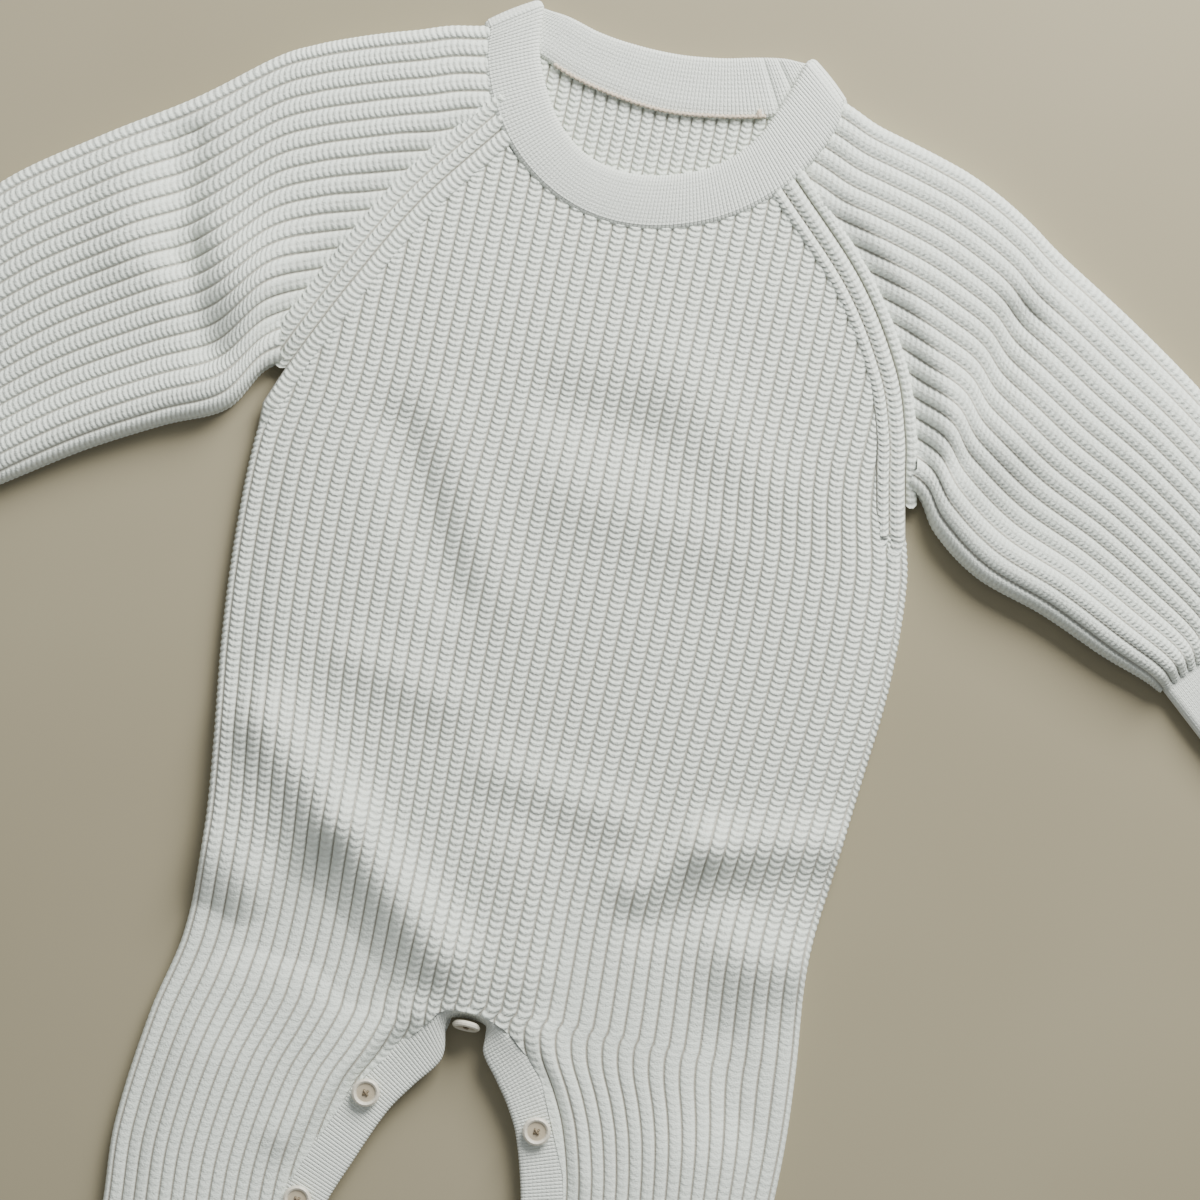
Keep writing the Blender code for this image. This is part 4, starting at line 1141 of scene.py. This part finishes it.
def cuff_sheet(seam_low, seam_top, hem_low, hem_top):
    """A flattened tube of fine rib between two section lines, each from its low to top end."""
    width = np.linalg.norm(seam_top - seam_low)
    straight = width - 2 * CUFF_ROUND
    perimeter = 2 * (straight + pi * CUFF_ROUND)
    count = round(perimeter / FINE_RIB)
    ribs = rib_columns(0, count, FINE_PLACES)
    walk = ribs / count * perimeter
    over = np.clip(walk, 0, straight)
    outer = np.clip(walk - straight, 0, pi * CUFF_ROUND) / CUFF_ROUND
    under = np.clip(walk - straight - pi * CUFF_ROUND, 0, straight)
    inner = np.clip(walk - 2 * straight - pi * CUFF_ROUND, 0, pi * CUFF_ROUND) / CUFF_ROUND
    turn = pi / 2 - outer - inner
    place = CUFF_ROUND + over - under + CUFF_ROUND * np.cos(turn)
    height = CUFF_ROUND * np.sin(turn)
    length = np.linalg.norm(hem_low - seam_low)
    rows = np.arange(0, length - CUFF_HEM_ROUND, FINE_STITCH)
    curl = np.linspace(0, pi, 7)
    back = np.arange(FINE_STITCH, CUFF_TURN_IN, FINE_STITCH)
    hem = length - CUFF_HEM_ROUND
    down = np.concatenate([rows, hem + CUFF_HEM_ROUND * np.sin(curl), hem - back])
    inward = np.concatenate(
        [0 * rows, CUFF_HEM_ROUND * (1 - np.cos(curl)), 0 * back + 2 * CUFF_HEM_ROUND]
    )
    rise = np.interp(ribs - np.floor(ribs), *zip(*FINE_SHAPE)) * FINE_DEPTH
    swell = CUFF_SWELL * np.sin(pi * np.clip(down / length, 0, 1))
    grow = rise[:, None] - FINE_DEPTH - inward[None, :]
    share = (place[:, None] + grow * np.cos(turn)[:, None]) / width
    share = share[..., None]
    start = seam_low + (seam_top - seam_low) * share
    end = hem_low + (hem_top - hem_low) * share
    points = start + (end - start) * (down / length)[None, :, None]
    z = MID_HEIGHT + (height[:, None] + grow * np.sin(turn)[:, None])
    z = z + np.where(height[:, None] > 0, swell[None, :], 0)
    points = np.concatenate([points, z[..., None]], axis=2)
    ribs, stitches = np.meshgrid(ribs, np.arange(len(down)), indexing="ij")
    return whole(points, ribs, stitches.astype(float))


def sleeve_cuff_lines(row):
    """Seam and hem lines of a sleeve cuff, square to the sleeve's end."""
    low, top = np.array((row.low_x, row.low_y)), np.array((row.top_x, row.top_y))
    across = (top - low) / np.linalg.norm(top - low)
    away = np.array((across[1], -across[0])) * np.sign(row.top_x)
    start, end = away * CUFF_GAP, away * (CUFF_LENGTH + CUFF_PAST)
    return low + start, top + start, low + end, top + end


def leg_cuff_lines(sign, outer):
    """Seam and hem lines of an ankle cuff, from beside the button bands to the outer leg."""
    inner = abs(FRONT_INNER[0].left) + CUFF_OFF_BAND
    start = LEG_SEAM - CUFF_GAP
    ends = ((inner, start), (outer, start), (inner, HEM), (outer - CUFF_TAPER, HEM))
    return tuple(np.array((sign * x, y)) for x, y in ends)


for name, lines in (
    ("left_sleeve_cuff", sleeve_cuff_lines(LEFT_SLEEVE[0])),
    ("right_sleeve_cuff", sleeve_cuff_lines(RIGHT_SLEEVE[0])),
    ("left_leg_cuff", leg_cuff_lines(-1, 112)),
    ("right_leg_cuff", leg_cuff_lines(1, 113)),
):
    cuff = knit_piece("knit_" + name, [cuff_sheet(*lines)], fine)
    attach(cuff, "root")
    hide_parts(name)
    cut = (0.136, 0.05) if "sleeve" in name else (0.099, 0.05)


# Buttons. Shirt-style buttons of cream plastic with a raised rim and a dished middle, each
# sewn on through its four holes with a cross of brown thread.
RIM_CREAM = (0.66, 0.62, 0.50, 1)
DISH_TAN = (0.46, 0.39, 0.27, 1)
DISH_FROM, DISH_TO = 0.0031, 0.0042
THREAD_BROWN = (0.16, 0.12, 0.07, 1)
THREAD_LIGHT = (0.30, 0.24, 0.15, 1)
# Two arched threads cross the dish at this height over the button's back, one over the other
STITCH_HALF, STITCH_RADIUS, STITCH_LEVEL = 1.25, 0.38, 1.75
STITCH_ARCH, STITCH_OVER = 0.35, 0.12
BUTTON_HALF = 1.3
CROTCH_TILT = radians(73)

sewn = bpy.data.materials.new("button_thread")
sewn.use_nodes = True
shader = sewn.node_tree.nodes["Principled BSDF"]
wire = Wire(sewn.node_tree)
place = wire.node("ShaderNodeTexCoord", {}, {}, output="Object")
ply = wire.node("ShaderNodeTexNoise", {}, {"Vector": place, "Scale": 2500.0, "Detail": 2.0})
tone = ply.between(0.4, 0.65).blend(THREAD_BROWN, THREAD_LIGHT)
sewn.node_tree.links.new(tone.socket, shader.inputs["Base Color"])
shader.inputs["Roughness"].default_value = 0.85

for name, node in nodes.items():
    if not name.startswith("button"):
        continue
    low, high = (np.array(corner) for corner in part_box(name))
    middle = (low + high) / 2
    cream = bpy.data.materials.new("cream_" + name)
    cream.use_nodes = True
    shader = cream.node_tree.nodes["Principled BSDF"]
    wire = Wire(cream.node_tree)
    place = wire.node("ShaderNodeTexCoord", {}, {}, output="Object")
    away = {0: place, 1: tuple(middle)}
    out = wire.node("ShaderNodeVectorMath", {"operation": "DISTANCE"}, away, output="Value")
    swirl = wire.node(
        "ShaderNodeTexNoise", {}, {"Vector": place, "Scale": 420.0, "Detail": 3.0, "Distortion": 1.5}
    )
    dish = (1 - out.between(DISH_FROM, DISH_TO)) * (0.75 + swirl * 0.4)
    tone = dish.blend(RIM_CREAM, DISH_TAN)
    bump = wire.node("ShaderNodeBump", {}, {"Strength": 0.25, "Distance": 0.0004, "Height": swirl})
    cream.node_tree.links.new(tone.socket, shader.inputs["Base Color"])
    cream.node_tree.links.new(bump.socket, shader.inputs["Normal"])
    shader.inputs["Roughness"].default_value = 0.4
    node.data.materials.clear()
    node.data.materials.append(cream)

    tilt = CROTCH_TILT if name == "button_crotch" else 0
    centre = middle / MM + MIDDLE
    for k, turn in enumerate((pi / 4, -pi / 4)):
        share = np.linspace(-1, 1, 9)
        across = share * STITCH_HALF * cos(turn)
        aside = share * STITCH_HALF * sin(turn)
        level = STITCH_LEVEL - BUTTON_HALF + STITCH_ARCH * (1 - share**4) + STITCH_OVER * k
        path = np.stack(
            [
                centre[0] + across,
                centre[1] + aside * cos(tilt) - level * sin(tilt),
                centre[2] + aside * sin(tilt) + level * cos(tilt),
            ],
            axis=1,
        )
        stitch = cord_mesh(f"{name}_thread_{k + 1}", path, STITCH_RADIUS, sewn, sides=6)
        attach(stitch, "root")
